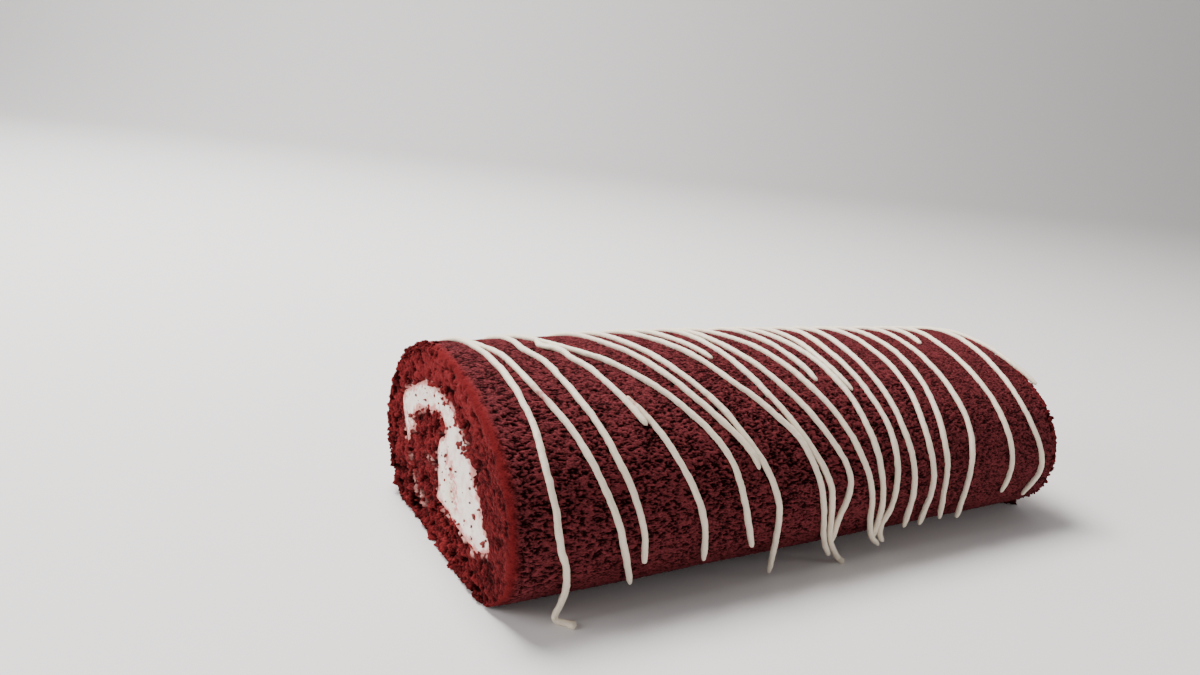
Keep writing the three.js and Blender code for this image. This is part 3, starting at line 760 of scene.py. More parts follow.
class CreamSettings(PropertyGroup):
    """Colours of the cream"""

    colour: colour_of("Cream", "Colour of the filling", (0.985, 0.885, 0.79))
    stain_colour: colour_of("Stain", "Colour of pink stains", (0.66, 0.24, 0.21))
    butter_colour: colour_of("Butter", "Colour of the yellow patch", (0.82, 0.77, 0.56))


class DrizzleSettings(PropertyGroup):
    """Size and colours of the lines of icing"""

    bead_width: length_of("Bead width", "Width of a line of icing", 0.0022)
    bead_height: length_of("Bead height", "Thickness of a line of icing", 0.0021)
    colour: colour_of("Icing", "Colour of the drizzle", (0.95, 0.825, 0.655))
    stain_colour: colour_of("Stain", "Colour of the crumb in it", (0.5, 0.17, 0.15))


class CrumbSettings(PropertyGroup):
    """Size of the crumbs"""

    largest: length_of("Largest crumb", "Width of the largest crumb", 0.0022)


class StageSettings(PropertyGroup):
    """Floor and light"""

    floor_colour: colour_of("Floor", "Colour of the floor", (0.84, 0.815, 0.81))
    key_power: FloatProperty(
        name="Key light", description="Power of the light overhead", default=29.0, unit="POWER")


# The pieces


def heart_of(height):
    """(y, z) of the roll's heart in a section of this height."""
    return np.array(HEART) * np.array([1, height / NEAR_HEIGHT])


def cut_shape(cut, inwards, grid):
    """One smooth cut. Rows run from the heart out over the face, round the rim on a quarter circle and on
    along the skin. Gives the points, the way that each is pushed out, its way round, how far along its
    column it lies from the edge of the face, how far behind the face, and the roll's height there."""
    face_rows = int(HEART_REACH / grid)
    rim_rows = max(6, int(RIM_ROUND * math.pi / 2 / grid))
    skin_rows = int((CUT_DEPTH - RIM_ROUND) / grid)
    turn = np.concatenate([np.linspace(0, math.pi / 2, rim_rows), np.full(skin_rows, math.pi / 2)])
    depth = RIM_ROUND * (1 - np.cos(turn))
    depth[rim_rows:] = np.linspace(RIM_ROUND, CUT_DEPTH, skin_rows + 1)[1:]
    inset = RIM_ROUND * (1 - np.sin(turn))
    places = [lambda y, z, d=d: cut(y, z) + inwards * d for d in depth]
    points, out, way = rings(places, inset, int(SKIN_ROUND / grid), int(FOOT_WIDE / grid / 1.4))

    height = section_at(points[0, 0, 0])[0]
    heart = heart_of(height)
    shrink = (np.linspace(1, 0, face_rows + 1)[1:-1] ** 1.25)[:, None, None]
    face_yz = points[None, 0, :, 1:] * (1 - shrink) + heart * shrink
    face = np.concatenate([cut(face_yz[..., :1], face_yz[..., 1:]), face_yz], -1)
    edge = np.linalg.norm(points[0, :, 1:] - heart, axis=-1)
    points = np.concatenate([face, points])
    out = np.concatenate([np.broadcast_to(out[0], face_yz.shape), out])
    way = np.concatenate([np.broadcast_to(way[0], face_yz.shape[:2]), way])

    on_face, ones = np.zeros(face_rows - 1), np.ones(way.shape)
    turn = np.concatenate([on_face, turn])[:, None]
    behind = np.concatenate([on_face, depth])[:, None] * ones
    push = [-inwards * np.cos(turn)[..., None] * ones[..., None], np.sin(turn)[..., None] * out]
    arc = turn * RIM_ROUND * ones
    arc[: face_rows - 1] = np.linalg.norm(face_yz - heart, axis=-1) - edge
    arc += np.maximum(behind - RIM_ROUND, 0)
    return points, np.concatenate(push, -1), way, arc, behind, height


def cut_marks(near, points, way, arc):
    """How torn, pressed, coarse and ragged a cut is at each point. The near cut is pressed smooth along the
    front of its rim, and coarser at its front and foot than at its back and top."""
    y, z = points[..., 1], points[..., 2]
    seen_front = np.where(way < 0, 0.0, smooth(0.62, 0.5, way)) if near else np.zeros(way.shape)
    ragged = 1 - seen_front
    torn = smooth(5.6, 2.6, arc - 1.2 * ragged + 0.8 * soft_noise(points, 3.5, 44))
    # The pressed band is centred where the rounded rim turns towards the light, so its colour is partly a
    # painted highlight
    ridge_at = 0.4 * math.pi / 2 * RIM_ROUND
    ridge = np.exp(-(((arc - ridge_at - 0.5 * soft_noise(points, 6, 40)) / 1.7) ** 2))
    if not near:
        return torn, 0.25 * ridge, 0.75 + 0 * y, ragged
    coarse = 0.25 + 0.85 * smooth(-40, -14, y) + 0.7 * smooth(20, 5, z) * smooth(-50, -30, y)
    coarse = (coarse - 0.42 * smooth(54, 64, z)) * (1 - 0.35 * smooth(0.5, 4, arc) * (1 - ragged * 0.8))
    return torn, ridge * seen_front * smooth(0.0, 0.05, way), coarse, ragged


# Soft ovals on the near cut, where cream is rubbed into the crumb and where the crumb is darker, low at its
# front
SMEARS = [
    (22.9, 9, 4.5, 1.8), (29.6, 13.5, 2.6, 2.2), (34.1, 20.5, 1.4, 1.8), (15.4, 27.8, 3, 1.3),
    (-38.5, 17.7, 1.8, 1.2),
]
DARKER_SPOTS = [(-42.5, 13.5, 3.0, 2.2)]


def cut_piece(name, cut, settings, material):
    """One torn cut with its rim and the first of the skin, closed behind. Each point of the smooth cut is
    pushed out by the sponge's relief, with jags at the ragged edge, and sinks under the filling."""
    near = cut is near_cut
    inwards = 1 if near else -1
    points, direction, way, arc, behind, height = cut_shape(cut, inwards, settings.cut_grid / MM)
    torn, rim, coarse, ragged = cut_marks(near, points, way, arc)
    y, z = points[..., 1], points[..., 2]
    stand, crag = sponge_relief(points, torn, coarse, rim, way, settings)
    jags = 1.1 * soft_noise(points, 2.6, 47) + 0.6 * soft_noise(points, 1.2, 48)
    stand = stand + ragged * torn * np.exp(-(((arc - 0.3) / 2.4) ** 2)) * jags
    on_face = smooth(1.2, 0.2, behind)
    under = cream_depth(y, z, height)
    ragged_edge = 1.0 * soft_noise(points, 2.4, 41) + 0.8 * soft_noise(points, 1.0, 45)
    sunk = CREAM_SINK * smooth(-0.3, 1.1, under + ragged_edge) * on_face
    if near:
        # Darker crumb low at the front of the cut
        darkening = soft_spots(DARKER_SPOTS, y, z) * on_face
        crag = np.clip(crag - 0.5 * darkening * (0.7 + 0.5 * soft_noise(points, 1.2, 46)), 0, 1)
    points = points + direction * (stand - sunk)[..., None]
    points[..., 2] = np.maximum(points[..., 2], 0)
    smear = smooth(1.5, 0.2, np.abs(under + 0.5)) * smooth(0.1, 0.6, soft_noise(points, 2.2, 42)) * on_face
    if near:
        rubbed = 1.5 * soft_spots(SMEARS, y, z) * smooth(-0.15, 0.4, soft_noise(points, 1.6, 43))
        smear = smear + rubbed * on_face
    heart = heart_of(height)
    ends = [[cut(*heart) + inwards * depth, *heart] for depth in (0.8, CUT_DEPTH)]
    flat = np.concatenate([points.reshape(-1, 3), ends])
    attributes = {
        "crag": with_poles(crag, 0.5, 0.5),
        "rim": with_poles(rim, 0, 0),
        "torn": with_poles(torn, 1, 0),
        "smear": with_poles(np.clip(smear, 0, 1), 0, 0),
    }
    quads, triangles = ring_quads(*way.shape), pole_caps(*way.shape)
    return make_piece(name, flat, quads, triangles, material, attributes)


def wall_piece(name, start, end, settings, material):
    """A length of the roll's wall between two parts of the way along it: rows of skin, then an inner wall
    that runs back to the start, so that the grid closes both ways and the filling has room."""
    grid = settings.grid / MM
    columns = int(SKIN_ROUND / grid)
    rows = int((end - start) * (LENGTH - 2 * CUT_DEPTH) / grid / 1.6)
    parts = np.linspace(start, end, rows)

    def place(y, z, t):
        return (near_cut(y, z) + CUT_DEPTH) * (1 - t) + (far_cut(y, z) - CUT_DEPTH) * t

    places = [lambda y, z, t=t: place(y, z, t) for t in parts]
    points, out, way = rings(places, np.zeros(rows), columns, BASE_COLUMNS)
    none = np.zeros(way.shape)
    stand, crag = sponge_relief(points, none, none, none, way, settings)
    stand = np.where(way < 0, 0, stand)
    direction = np.concatenate([np.zeros(way.shape)[..., None], out], -1)
    inner, inner_out, _ = rings([places[-1], places[0]], np.zeros(2), columns, BASE_COLUMNS)
    inner_yz = inner[..., 1:] - WALL_THICK * inner_out
    inner_yz[..., 1] = np.maximum(inner_yz[..., 1], WALL_THICK)
    points = points + direction * stand[..., None]
    points[..., 2] = np.maximum(points[..., 2], 0)
    points = np.concatenate([points, np.concatenate([inner[..., :1], inner_yz], -1)])
    crag = np.concatenate([crag, np.full(inner.shape[:2], 0.5)])
    quads = ring_quads(rows + 2, way.shape[1], closed_rows=True)
    flat_quads = np.repeat(np.arange(rows + 2) >= rows - 1, way.shape[1])
    zeros = np.zeros(crag.shape)
    attributes = {"crag": crag, "rim": zeros, "torn": zeros, "smear": zeros}
    return make_piece(name, points.reshape(-1, 3), quads, [], material, attributes, flat_quads)


class SWISSROLL_OT_sponge(Operator):
    """Builds the sponge: two torn cuts and the lengths of wall between them"""

    bl_idname = "swissroll.sponge"
    bl_label = "Build sponge"

    def execute(self, context):
        settings = context.scene.swissroll_sponge
        material = sponge_material(settings)
        pieces = [cut_piece("sponge_cut_near", near_cut, settings, material)]
        pieces.append(cut_piece("sponge_cut_far", far_cut, settings, material))
        for k in range(WALLS):
            pieces.append(wall_piece(f"sponge_wall_{k + 1}", k / WALLS, (k + 1) / WALLS, settings, material))
        for piece in pieces:
            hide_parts("sponge")
        return {"FINISHED"}


# Soft ovals on the filling's near end, for its pink stains and its yellow patch
STAINS = [
    (-1.0, 34.7, 1.6, 3.4), (-6.2, 32.5, 1.5, 4), (-9.6, 28.8, 1.6, 4), (-11.8, 24.0, 2.5, 3),
    (3.2, 45.3, 3, 1.4), (36.1, 36.1, 4, 0.9), (39.0, 28.5, 2.6, 4.5),
]
BUTTERS = [(-6.2, 23.7, 4.5, 5.5)]

# Points of a cap along and across the band, and loops between the two caps
CREAM_ALONG, CREAM_ACROSS, CREAM_LOOPS = 330, 64, 12


def cream_cap(cut, inwards):
    """The filling's end at one cut: its grid, sunk a little below the cut's plane, with soft swells and small
    pits, and drawn under the crumb at its edge."""
    height = section_at(cut(*HEART))[0]
    grid = cream_grid(CREAM_ALONG, CREAM_ACROSS, CREAM_REACH)
    yz = grid * np.array([1, height / NEAR_HEIGHT])
    under = cream_depth(yz[..., 0], yz[..., 1], height)
    x = cut(yz[..., 0], yz[..., 1])
    p = np.concatenate([x[..., None], yz], -1)
    relief = 0.32 * soft_noise(p, 6, 51) + 0.16 * soft_noise(p, 2.4, 52) + 0.07 * soft_noise(p, 0.9, 53)
    relief = relief - 0.5 * smooth(0.5, 0.8, soft_noise(p, 1.8, 54))
    level = -0.25 + relief - 1.1 * smooth(0.6, -1.3, under)
    p[..., 0] = x - inwards * level
    return p, under


def cream_shape():
    """The filling as one closed mesh: a cap at each cut, and loops between their edges that run straight
    from one to the other and follow the roll's height. Gives the points, the quads and how far inside the
    filling's edge each point lies."""
    near_grid, near_under = cream_cap(near_cut, 1)
    far_grid, far_under = cream_cap(far_cut, -1)
    near_points, far_points = near_grid.reshape(-1, 3), far_grid.reshape(-1, 3)
    index = np.arange(CREAM_ALONG * CREAM_ACROSS).reshape(CREAM_ALONG, CREAM_ACROSS)
    edge = np.concatenate([index[:-1, 0], index[-1, :-1], index[:0:-1, -1], index[0, :0:-1]])
    caps = grid_quads(index)
    between = []
    for t in np.linspace(0, 1, CREAM_LOOPS + 2)[1:-1]:
        row = near_points[edge] * (1 - t) + far_points[edge] * t
        row[:, 2] = near_points[edge, 2] * section_at(row[:, 0])[0] / NEAR_HEIGHT
        between.append(row)
    points = np.concatenate([near_points, *between, far_points])
    count, size = len(near_points), len(edge)
    first_far = count + size * CREAM_LOOPS
    loops = [count + k * size + np.arange(size) for k in range(CREAM_LOOPS)]
    loops = np.stack([edge, *loops, first_far + edge])
    here, below = loops[:-1], loops[1:]
    sides = np.stack([here, np.roll(here, -1, 1), np.roll(below, -1, 1), below], -1).reshape(-1, 4)
    quads = np.concatenate([caps, sides[:, ::-1], caps[:, ::-1] + first_far])
    under = np.concatenate([near_under.ravel(), np.full(size * CREAM_LOOPS, 9.0), far_under.ravel()])
    return points, quads, under


class SWISSROLL_OT_cream(Operator):
    """Builds the cream filling, from one cut to the other"""

    bl_idname = "swissroll.cream"
    bl_label = "Build cream"

    def execute(self, context):
        settings = context.scene.swissroll_cream
        points, quads, under = cream_shape()
        y, z = points[:, 1], points[:, 2]
        at_near = (np.arange(len(points)) < CREAM_ALONG * CREAM_ACROSS) * 1.0
        stain = 3.2 * soft_spots(STAINS, y, z) * at_near * smooth(-0.35, 0.45, soft_noise(points, 0.9, 61))
        patches = soft_noise(points, 1.5, 62) + 0.5 * soft_noise(points, 0.7, 63)
        stain += 1.6 * smooth(0.0, 0.5, patches) * smooth(3.6, 0.6, under) + 1.1 * smooth(1.9, 0.3, under)
        stain += 0.3 * smooth(0.0, 0.7, soft_noise(points, 2.4, 64)) + 0.04
        butter = soft_spots(BUTTERS, y, z) * at_near
        attributes = {"stain": np.clip(stain, 0, 1), "butter": np.clip(butter, 0, 1)}
        piece = make_piece("cream", points, quads, [], cream_material(settings), attributes)
        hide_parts("cream")
        return {"FINISHED"}


# The drizzle


def line_at(pairs, u):
    """A line's x at each way round: cubics between its pairs, with slopes from the pairs on either side."""
    pairs = np.asarray(pairs, float)
    way, x = pairs[:, 0], pairs[:, 1]
    last = len(pairs) - 1
    i = np.clip(np.searchsorted(-way, -np.asarray(u, float), side="left"), 1, last)
    before, after = np.maximum(i - 2, 0), np.minimum(i + 1, last)
    width = way[i] - way[i - 1]
    t = np.clip((u - way[i - 1]) / width, 0, 1)
    slope_a = (x[i] - x[before]) / (way[i] - way[before]) * width
    slope_b = (x[after] - x[i - 1]) / (way[after] - way[i - 1]) * width
    t2, t3 = t * t, t * t * t
    ends = (2 * t3 - 3 * t2 + 1) * x[i - 1] + (3 * t2 - 2 * t3) * x[i]
    return ends + (t3 - 2 * t2 + t) * slope_a + (t3 - t2) * slope_b


def whole_line(pairs, number):
    """A line with its unseen back: it keeps the slant it has on the front, turned over, and stops at its own
    height, with a small wobble."""
    if pairs[0][0] < CREST:
        return pairs
    crest_x = pairs[0][1]
    stop = BACK_STOP + BACK_SPREAD * ((number * GOLDEN) % 1)
    ways = [way for way in (0.65, 0.75, 0.85) if way < stop - 0.035] + [stop]
    unseen = []
    for way in ways:
        twin = max(pairs[-1][0], 2 * CREST - way)
        slant = BACK_SLANT * (float(line_at(pairs, twin)) - crest_x)
        x = crest_x - slant + 1.6 * (chance(number * 9 + way * 40) - 0.5)
        unseen.append((way, min(max(x, -BACK_REACH), BACK_REACH)))
    return unseen[::-1] + list(pairs)


def bead_path(pairs, lift):
    """Middle line of a bead, its direction out and the way round at each step: lifted from the skin by lift
    mm, and below the place where it leaves the flank straight down with a slight lean inwards."""
    u = np.linspace(pairs[0][0], pairs[-1][0], PATH_STEPS)
    x = line_at(pairs, u)
    front = u < 0.5
    way = np.where(front, u, 1 - u)
    held = np.maximum(way, FALL_FROM)
    on = np.where(front, held, 1 - held)
    yz = skin_point(x, on)
    out = skin_out(x, on)
    fall = yz[..., 1] * (held - way) / held
    y = yz[..., 0] + lift * out[..., 0] + np.where(front, 1, -1) * FALL_LEAN * fall
    z = np.maximum(lift + 0.6, yz[..., 1] + lift * out[..., 1] - fall)
    return np.stack([x, y, z], -1), np.concatenate([np.zeros((len(u), 1)), out], -1), u


def even_steps(path, others, step):
    """The path and what goes with it at even steps along it, each step blended again and again with the
    steps before and after it."""
    length = np.concatenate([[0], np.cumsum(np.linalg.norm(np.diff(path, axis=0), axis=1))])
    count = max(8, int(length[-1] / step))
    at = np.linspace(0, length[-1], count)
    even = np.stack([np.interp(at, length, path[:, k]) for k in range(3)], -1)
    turned = np.stack([np.interp(at, length, others[:, k]) for k in range(others.shape[1])], -1)
    for _ in range(SOFTEN_PATH):
        even[1:-1] = 0.25 * even[:-2] + 0.5 * even[1:-1] + 0.25 * even[2:]
    for _ in range(SOFTEN_OUT):
        turned[1:-1] = 0.25 * turned[:-2] + 0.5 * turned[1:-1] + 0.25 * turned[2:]
    return even, turned, at


def bead(name, path, out, wide, flat_end, settings, material, number):
    """A line of icing: an oval carried along the path, wider than it is high, its size wavering along the
    way, narrowed and rounded off at both ends, with small dents in it. wide multiplies its width at each
    step."""
    path, others, at = even_steps(path, np.concatenate([out, wide[:, None]], -1), BEAD_STEP)
    out, wide = others[:, :3], others[:, 3]
    total = at[-1]
    wobble_at = np.stack([at, np.full(len(at), number * 7.0), np.zeros(len(at))], -1)
    ahead = np.gradient(path, axis=0)
    ahead /= np.linalg.norm(ahead, axis=1, keepdims=True)
    side = np.cross(ahead, out)
    side /= np.linalg.norm(side, axis=1, keepdims=True)
    up = np.cross(side, ahead)
    path = path + side * (0.2 * soft_noise(wobble_at, 6, 70) + 0.1 * soft_noise(wobble_at, 2.4, 71))[:, None]
    start_round = np.minimum(at / 1.2, 1)
    end_round = np.minimum((total - at) / (0.7 if flat_end else 1.1), 1)
    close = np.sqrt(np.clip(1 - (1 - np.minimum(start_round, end_round)) ** 2, 0.0, 1))
    close[0] = close[-1] = 0.12
    size = 1 + 0.07 * soft_noise(wobble_at, 7, 72) + 0.05 * soft_noise(wobble_at, 2.1, 73)
    if not flat_end:
        size = size - 0.32 * np.exp(-(((total - at) / 2.4) ** 2))
    half_wide = settings.bead_width / MM / 2 * size * close * wide
    half_high = settings.bead_height / MM / 2 * size * close
    angle = np.linspace(0, 2 * math.pi, BEAD_COLUMNS, endpoint=False)
    points = path[:, None] + side[:, None] * (half_wide[:, None] * np.cos(angle))[..., None]
    points = points + up[:, None] * (half_high[:, None] * np.sin(angle))[..., None]
    away = points - path[:, None]
    dents = 0.08 * soft_noise(points, 1.2, 74) + 0.05 * soft_noise(points, 0.6, 75)
    points = points + away * dents[..., None]
    points[..., 2] = np.maximum(points[..., 2], 0)
    flat = np.concatenate([points.reshape(-1, 3), path[:1], path[-1:]])
    flat[:, 2] = np.maximum(flat[:, 2], 0)
    middle, reach = STAINED.get(number, (0, 1e-3))
    rubbed = np.exp(-(((np.repeat(at, BEAD_COLUMNS) - middle) / reach) ** 2))
    rubbed = rubbed * (0.65 + 0.8 * soft_noise(flat[:-2], 1.1, 76))
    stain = with_poles(np.clip(rubbed, 0, 1), 0, 0)
    quads, triangles = ring_quads(len(path), BEAD_COLUMNS), pole_caps(len(path), BEAD_COLUMNS)
    return make_piece(name, flat, quads, triangles, material, {"stain": stain})


def with_foot(path, out, wide, reach):
    """A line's path carried on over the floor by reach, where it sinks a little and widens to its end."""
    along = np.linspace(0, 1, FOOT_STEPS)[1:, None]
    foot = path[-1] + np.array([*reach, 0.0]) * along
    foot[:, 2] = 1.0 - 0.3 * along[:, 0]
    up = np.repeat(np.array([[0.0, 0.0, 1.0]]), len(foot), 0)
    wide = np.concatenate([wide, 1 + 0.7 * along[:, 0] ** 2])
    return np.concatenate([path, foot]), np.concatenate([out, up]), wide


class SWISSROLL_OT_drizzle(Operator):
    """Builds the lines of icing over the roll"""

    bl_idname = "swissroll.drizzle"
    bl_label = "Build drizzle"

    def execute(self, context):
        settings = context.scene.swissroll_drizzle
        material = drizzle_material(settings)
        for number, pairs in enumerate(LINES):
            path, out, u = bead_path(whole_line(pairs, number), BEAD_LIFT)
            place, more, over = BLOBS.get(number, (0.5, 0.0, 1.0))
            wide = 1 + more * np.exp(-(((u - place) / over) ** 2))
            if number in FEET:
                path, out, wide = with_foot(path, out, wide, FEET[number])
            name = f"drizzle_{number + 1:02d}"
            piece = bead(name, path, out, wide, number in FEET, settings, material, number)
            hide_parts("sponge")
        return {"FINISHED"}


# Crumbs


def crumb_shape():
    """A small lump: a ball whose rows lie between two poles."""
    rows, columns = 4, 8
    turn = np.linspace(0, 2 * math.pi, columns, endpoint=False)
    rise = np.linspace(-1, 1, rows + 2)[1:-1, None] * math.pi / 2
    ball = [np.cos(rise) * np.cos(turn), np.cos(rise) * np.sin(turn), np.sin(rise) * np.ones(columns)]
    points = np.concatenate([np.stack(ball, -1).reshape(-1, 3), [[0, 0, -1.0], [0, 0, 1.0]]])
    return points, ring_quads(rows, columns), pole_caps(rows, columns)


def crumb_piece(name, middles, sizes, material, seed, crag, creamy_and_lit=0.0):
    """Many crumbs as one piece: each is the small lump, turned at random, stretched and dented. The last
    argument is how much cream colour is mixed into them: cream rubbed in, and painted light that lightens
    them."""
    chooser = np.random.default_rng(seed)
    points, quads, triangles = crumb_shape()
    count = len(middles)
    axes = chooser.normal(size=(count, 3, 3))
    axes, _ = np.linalg.qr(axes)
    axes *= np.sign(np.linalg.det(axes))[:, None, None]
    stretch = chooser.uniform(0.65, 1.25, (count, 1, 3))
    lumps = points[None] * (1 + 0.28 * chooser.normal(size=(count, len(points), 1))).clip(0.5, 1.5) * stretch
    lumps = np.einsum("nij,npj->npi", axes, lumps) * np.asarray(sizes)[:, None, None] / 2
    lumps = lumps + np.asarray(middles)[:, None]
    lumps[..., 2] = np.maximum(lumps[..., 2], 0)
    shift = (np.arange(count) * len(points))[:, None, None]
    crumb_shadings = np.clip(crag + 0.18 * chooser.normal(size=(count, len(points))), 0, 1)
    zeros = np.zeros(count * len(points))
    attributes = {"crag": crumb_shadings, "rim": zeros, "torn": zeros + 1, "smear": zeros + creamy_and_lit}
    quads, triangles = quads[None] + shift, triangles[None] + shift
    return make_piece(name, lumps.reshape(-1, 3), quads, triangles, material, attributes)


# Crumbs in the cream that show at the near cut: (y, z, width)
SPECKS = [
    (-13.0, 44.3, 1.9), (-15.2, 45.9, 1.6), (-17.4, 45.0, 2.1), (-19.7, 44.1, 1.7), (-21.3, 43.7, 1.3),
    (-16.3, 43.0, 1.2), (-9.6, 50.0, 1.5), (-12.0, 50.7, 1.7), (-14.1, 49.2, 1.4), (-7.8, 52.0, 1.1),
    (-0.8, 54.3, 1.2), (1.8, 53.5, 1.5), (4.0, 54.4, 1.3), (-29.9, 27.0, 1.8), (-25.2, 34.6, 1.0),
    (-38.1, 26.1, 1.9), (-37.8, 21.4, 2.2), (-39.4, 23.4, 1.2), (-16.9, 17.9, 1.2), (-4.0, 47.2, 1.0),
    (22.9, 47.2, 1.1), (-1.0, 35.7, 1.4), (-0.7, 33.5, 1.1), (-6.2, 33.0, 1.2), (-11.8, 34.4, 1.0),
    (-5.3, 30.5, 0.8), (-2.2, 31.3, 0.7), (35.6, 36.6, 1.4), (37.5, 36.0, 1.3), (32.1, 46.1, 0.9),
    (13.7, 52.1, 0.9), (9.1, 50.9, 0.7), (-25.7, 29.8, 0.8), (-21.9, 21.7, 0.7),
]


# Crumbs tried in the cream at each cut, and crumbs along each rim
CREAM_CRUMBS, RIM_CRUMBS = 1500, 420


def cream_crumbs(cut, inwards, specks, chooser):
    """Middles and sizes of the crumbs in the cream at one cut: the specks, and others scattered at random
    that are likelier near the filling's edge and where a soft noise gathers them."""
    height = section_at(cut(*HEART))[0]
    y = np.concatenate([specks[:, 0], chooser.uniform(-42, 46, CREAM_CRUMBS)])
    z = np.concatenate([specks[:, 1], chooser.uniform(14, 57, CREAM_CRUMBS)]) * height / NEAR_HEIGHT
    size = np.concatenate([specks[:, 2] * 1.05, 0.3 + 0.9 * chooser.random(CREAM_CRUMBS) ** 2.5])
    under = cream_depth(y, z, height)
    keep = under > 0.1
    cluster = smooth(-0.1, 0.5, soft_noise(np.stack([y * 0, y, z], -1), 5, 65))
    likely = 0.9 * np.exp(-under / 1.2) * (0.25 + cluster) + 0.02
    keep[len(specks):] &= (chooser.random(len(y)) < likely)[len(specks):]
    y, z, size = y[keep], z[keep], size[keep]
    return np.stack([cut(y, z) + inwards * (0.3 - 0.15 * size), y, z], -1), size


def rim_crumbs(cut, inwards, u, largest, chooser):
    """Middles and sizes of the crumbs that stick out of one cut's rim at the ways round u, a third of them
    moved to the foot of the cut. They sit as deep as the rim's quarter circle is there."""
    x0 = float(cut(*HEART))
    inset = chooser.uniform(-0.2, 2.6, len(u))
    yz = skin_point(x0, u) - inset[:, None] * skin_out(x0, u)
    foot = chooser.random(len(u)) < 0.35
    yz[foot, 0] = chooser.uniform(-40, 42, foot.sum())
    yz[foot, 1] = chooser.uniform(0.4, 3.5, foot.sum())
    yz[:, 1] = np.maximum(yz[:, 1], 0.5)
    smallest = 0.7
    widest = np.where(foot, 1.25, 1.0) * largest
    size = smallest + chooser.uniform(0, 1, len(u)) ** 1.6 * (widest - smallest)
    rounding = np.clip(1 - (1 - inset / RIM_ROUND) ** 2, 0, 1)
    deep = np.where(foot, 0.3, RIM_ROUND * (1 - np.sqrt(rounding)))
    return np.stack([cut(yz[:, 0], yz[:, 1]) + inwards * deep, yz[:, 0], yz[:, 1]], -1), size


class SWISSROLL_OT_crumbs(Operator):
    """Scatters the crumbs that stick in the cream and out of the torn cuts"""

    bl_idname = "swissroll.crumbs"
    bl_label = "Scatter crumbs"

    def execute(self, context):
        settings = context.scene.swissroll_crumbs
        material = bpy.data.materials["red_sponge"]
        chooser = np.random.default_rng(7)
        near_specks = np.array(SPECKS)
        far_specks = near_specks[::2] * np.array([1, 1, 0.9])
        cuts = (("near", near_cut, 1, near_specks, 0.52), ("far", far_cut, -1, far_specks, 0.0))
        for name, cut, inwards, specks, from_way in cuts:
            middles, size = cream_crumbs(cut, inwards, specks, chooser)
            # The crumbs in the cream get crag shading near its top and some cream colour: painted light, so
            # their own shadows do not make them look black
            crumb_piece(f"cream_crumbs_{name}", middles, size, material, 3 + inwards, 0.95, 0.1)
            u = chooser.uniform(from_way, 1.0, RIM_CRUMBS)
            middles, size = rim_crumbs(cut, inwards, u, settings.largest / MM, chooser)
            crumb_piece(f"rim_crumbs_{name}", middles, size, material, 9 + inwards, 0.5)
        return {"FINISHED"}


# The stage


class SWISSROLL_OT_stage(Operator):
    """Adds the floor with its sweep, the lights and the camera"""

    bl_idname = "swissroll.stage"
    bl_label = "Build stage"

    def execute(self, context):
        settings = context.scene.swissroll_stage
        material, wire = start_material("pale_floor")
        tone = wire.noise(6, 2.0)
        colour = tuple(settings.floor_colour)
        shade = wire.mix((tone * 0.5).clamp(), colour, tuple(c * 0.97 for c in colour))
        end_material(wire, {"Base Color": shade, "Roughness": 0.75 + tone * 0.1, "Specular IOR Level": 0.3})
        floor = sweep_piece(material)
        power = settings.key_power
        add_light("key_light", (-0.25, 0.45, 1.1), (0, 0, 0.03), 0.5, power, (1.0, 0.985, 0.96))
        add_light("fill_light", (-1.35, 0.22, 0.62), (-0.04, 0, 0.03), 0.8, power * 0.5, (1.0, 0.985, 0.97))
        add_light("side_light", (0.65, -0.4, 0.13), (0.1, -0.03, 0.03), 0.2, power * 0.03, (1.0, 0.99, 0.97))
        add_light("back_light", (-0.5, 1.1, 1.2), (0.05, 2.2, 0.3), 0.8, power * 1.05, (1.0, 1.0, 0.99))
        world = bpy.data.worlds.new("studio_world")
        world.use_nodes = True
        world.node_tree.nodes["Background"].inputs["Color"].default_value = (0.95, 0.955, 0.96, 1.0)
        world.node_tree.nodes["Background"].inputs["Strength"].default_value = 0.27
        context.scene.world = world
        add_camera(context)
        return {"FINISHED"}


def sweep_piece(material):
    """The floor and its backdrop as one sheet in the camera's direction: flat, a quarter circle, upright."""
    reach, radius, rise = 1.6, 0.7, 1.6
    floor = np.stack([np.linspace(-3.2, reach, 30), np.zeros(30)], -1)
    angle = np.linspace(0, math.pi / 2, 24)[1:]
    bend = np.stack([reach + radius * np.sin(angle), radius - radius * np.cos(angle)], -1)
    wall = np.stack([np.full(8, reach + radius), radius + np.linspace(0, rise, 9)[1:]], -1)
    profile = np.concatenate([floor, bend, wall])
    wide = np.linspace(-3.5, 3.5, 30)
    yaw = math.radians(CAMERA_YAW)
    ahead, right = np.array([math.sin(yaw), math.cos(yaw), 0]), np.array([math.cos(yaw), -math.sin(yaw), 0])
    points = profile[:, None, :1] * ahead + wide[None, :, None] * right
    points[..., 2] = profile[:, None, 1]
    index = np.arange(points.shape[0] * points.shape[1]).reshape(points.shape[:2])
    quads = grid_quads(index.T)
    mesh = bpy.data.meshes.new("floor")
    mesh.from_pydata(points.reshape(-1, 3).tolist(), [], quads.tolist())
    mesh.polygons.foreach_set("use_smooth", np.ones(len(quads), bool))
    mesh.materials.append(material)
    piece = bpy.data.objects.new("floor", mesh)
    bpy.context.scene.collection.objects.link(piece)
    return piece


def add_light(name, place, aim, size, power, colour):
    """A square soft light that points from its place at its aim."""
    data = bpy.data.lights.new(name, "AREA")
    data.size = size
    data.energy = power
    data.color = colour
    light = bpy.data.objects.new(name, data)
    light.location = place
    light.rotation_euler = (Vector(aim) - Vector(place)).to_track_quat("-Z", "Y").to_euler()
    bpy.context.scene.collection.objects.link(light)


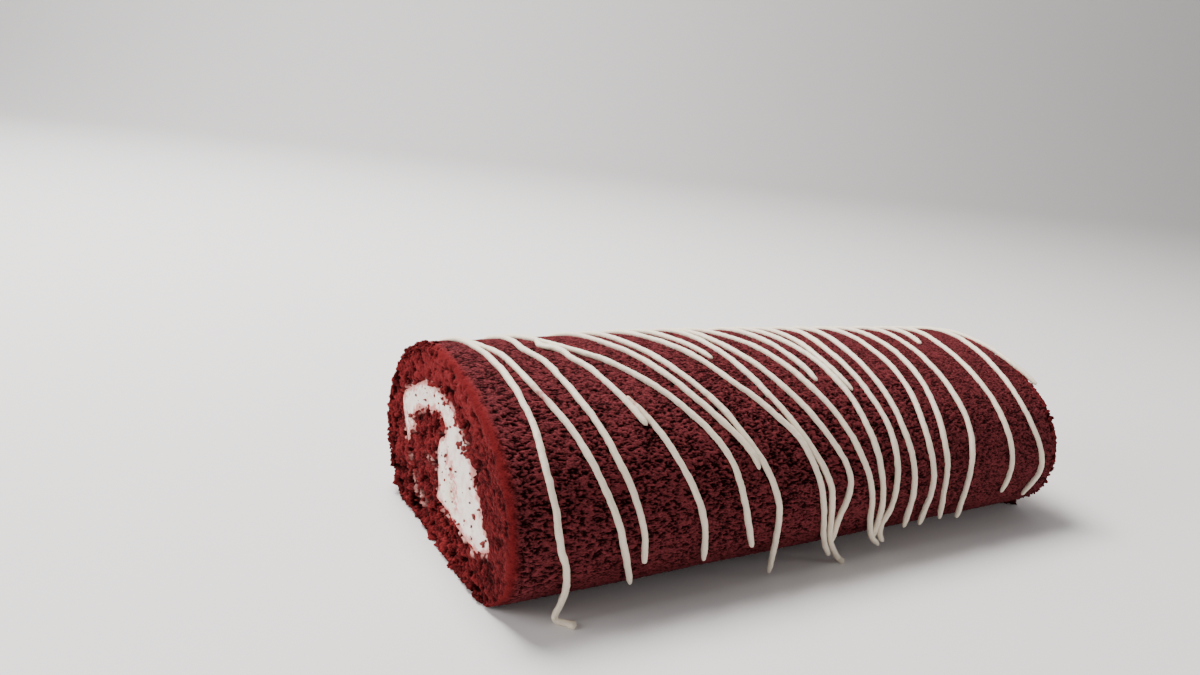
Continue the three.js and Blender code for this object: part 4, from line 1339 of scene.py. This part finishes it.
CAMERA_AT = (-0.21886, -0.26947, 0.15811)
CAMERA_YAW, CAMERA_PITCH, CAMERA_ROLL = 29.083, 15.19, 5.51
CAMERA_LENS = 26.69


def add_camera(context):
    """The camera: turned by yaw about the vertical, pitched down and rolled, with its lens in mm on a 36 mm
    sensor."""
    yaw, pitch, roll = (math.radians(a) for a in (CAMERA_YAW, CAMERA_PITCH, CAMERA_ROLL))
    ahead = Vector((math.sin(yaw) * math.cos(pitch), math.cos(yaw) * math.cos(pitch), -math.sin(pitch)))
    level = Vector((math.cos(yaw), -math.sin(yaw), 0))
    above = level.cross(ahead)
    right = level * math.cos(roll) + above * math.sin(roll)
    up = above * math.cos(roll) - level * math.sin(roll)
    data = bpy.data.cameras.new("camera")
    data.sensor_width = 36
    data.lens = CAMERA_LENS
    camera = bpy.data.objects.new("camera", data)
    turn = Matrix((right, up, -ahead)).transposed().to_4x4()
    camera.matrix_world = Matrix.Translation(CAMERA_AT) @ turn
    context.scene.collection.objects.link(camera)
    context.scene.camera = camera


# The panel and the run


class SWISSROLL_PT_panel(Panel):
    """Lists the pieces and their settings"""

    bl_label = "Swiss roll"
    bl_idname = "SWISSROLL_PT_panel"
    bl_space_type = "VIEW_3D"
    bl_region_type = "UI"
    bl_category = "Swiss roll"

    def draw(self, context):
        scene = context.scene
        for group, operator in PARTS:
            box = self.layout.box()
            settings = getattr(scene, group)
            for name in settings.bl_rna.properties.keys():
                if name not in {"rna_type", "name"}:
                    box.prop(settings, name)
            box.operator(operator)


PARTS = [
    ("swissroll_sponge", "swissroll.sponge"),
    ("swissroll_cream", "swissroll.cream"),
    ("swissroll_drizzle", "swissroll.drizzle"),
    ("swissroll_crumbs", "swissroll.crumbs"),
    ("swissroll_stage", "swissroll.stage"),
]
SETTINGS = [
    ("swissroll_sponge", SpongeSettings),
    ("swissroll_cream", CreamSettings),
    ("swissroll_drizzle", DrizzleSettings),
    ("swissroll_crumbs", CrumbSettings),
    ("swissroll_stage", StageSettings),
]
OPERATORS = [
    SWISSROLL_OT_sponge,
    SWISSROLL_OT_cream,
    SWISSROLL_OT_drizzle,
    SWISSROLL_OT_crumbs,
    SWISSROLL_OT_stage,
    SWISSROLL_PT_panel,
]


def register():
    for name, group in SETTINGS:
        bpy.utils.register_class(group)
        setattr(bpy.types.Scene, name, PointerProperty(type=group))
    for kind in OPERATORS:
        bpy.utils.register_class(kind)


def unregister():
    for kind in reversed(OPERATORS):
        bpy.utils.unregister_class(kind)
    for name, group in reversed(SETTINGS):
        delattr(bpy.types.Scene, name)
        bpy.utils.unregister_class(group)


def main():
    """Registers the classes and builds every piece in order."""
    register()
    bpy.ops.swissroll.sponge()
    bpy.ops.swissroll.cream()
    bpy.ops.swissroll.drizzle()
    bpy.ops.swissroll.crumbs()
    bpy.ops.swissroll.stage()


if __name__ == "__main__":
    main()
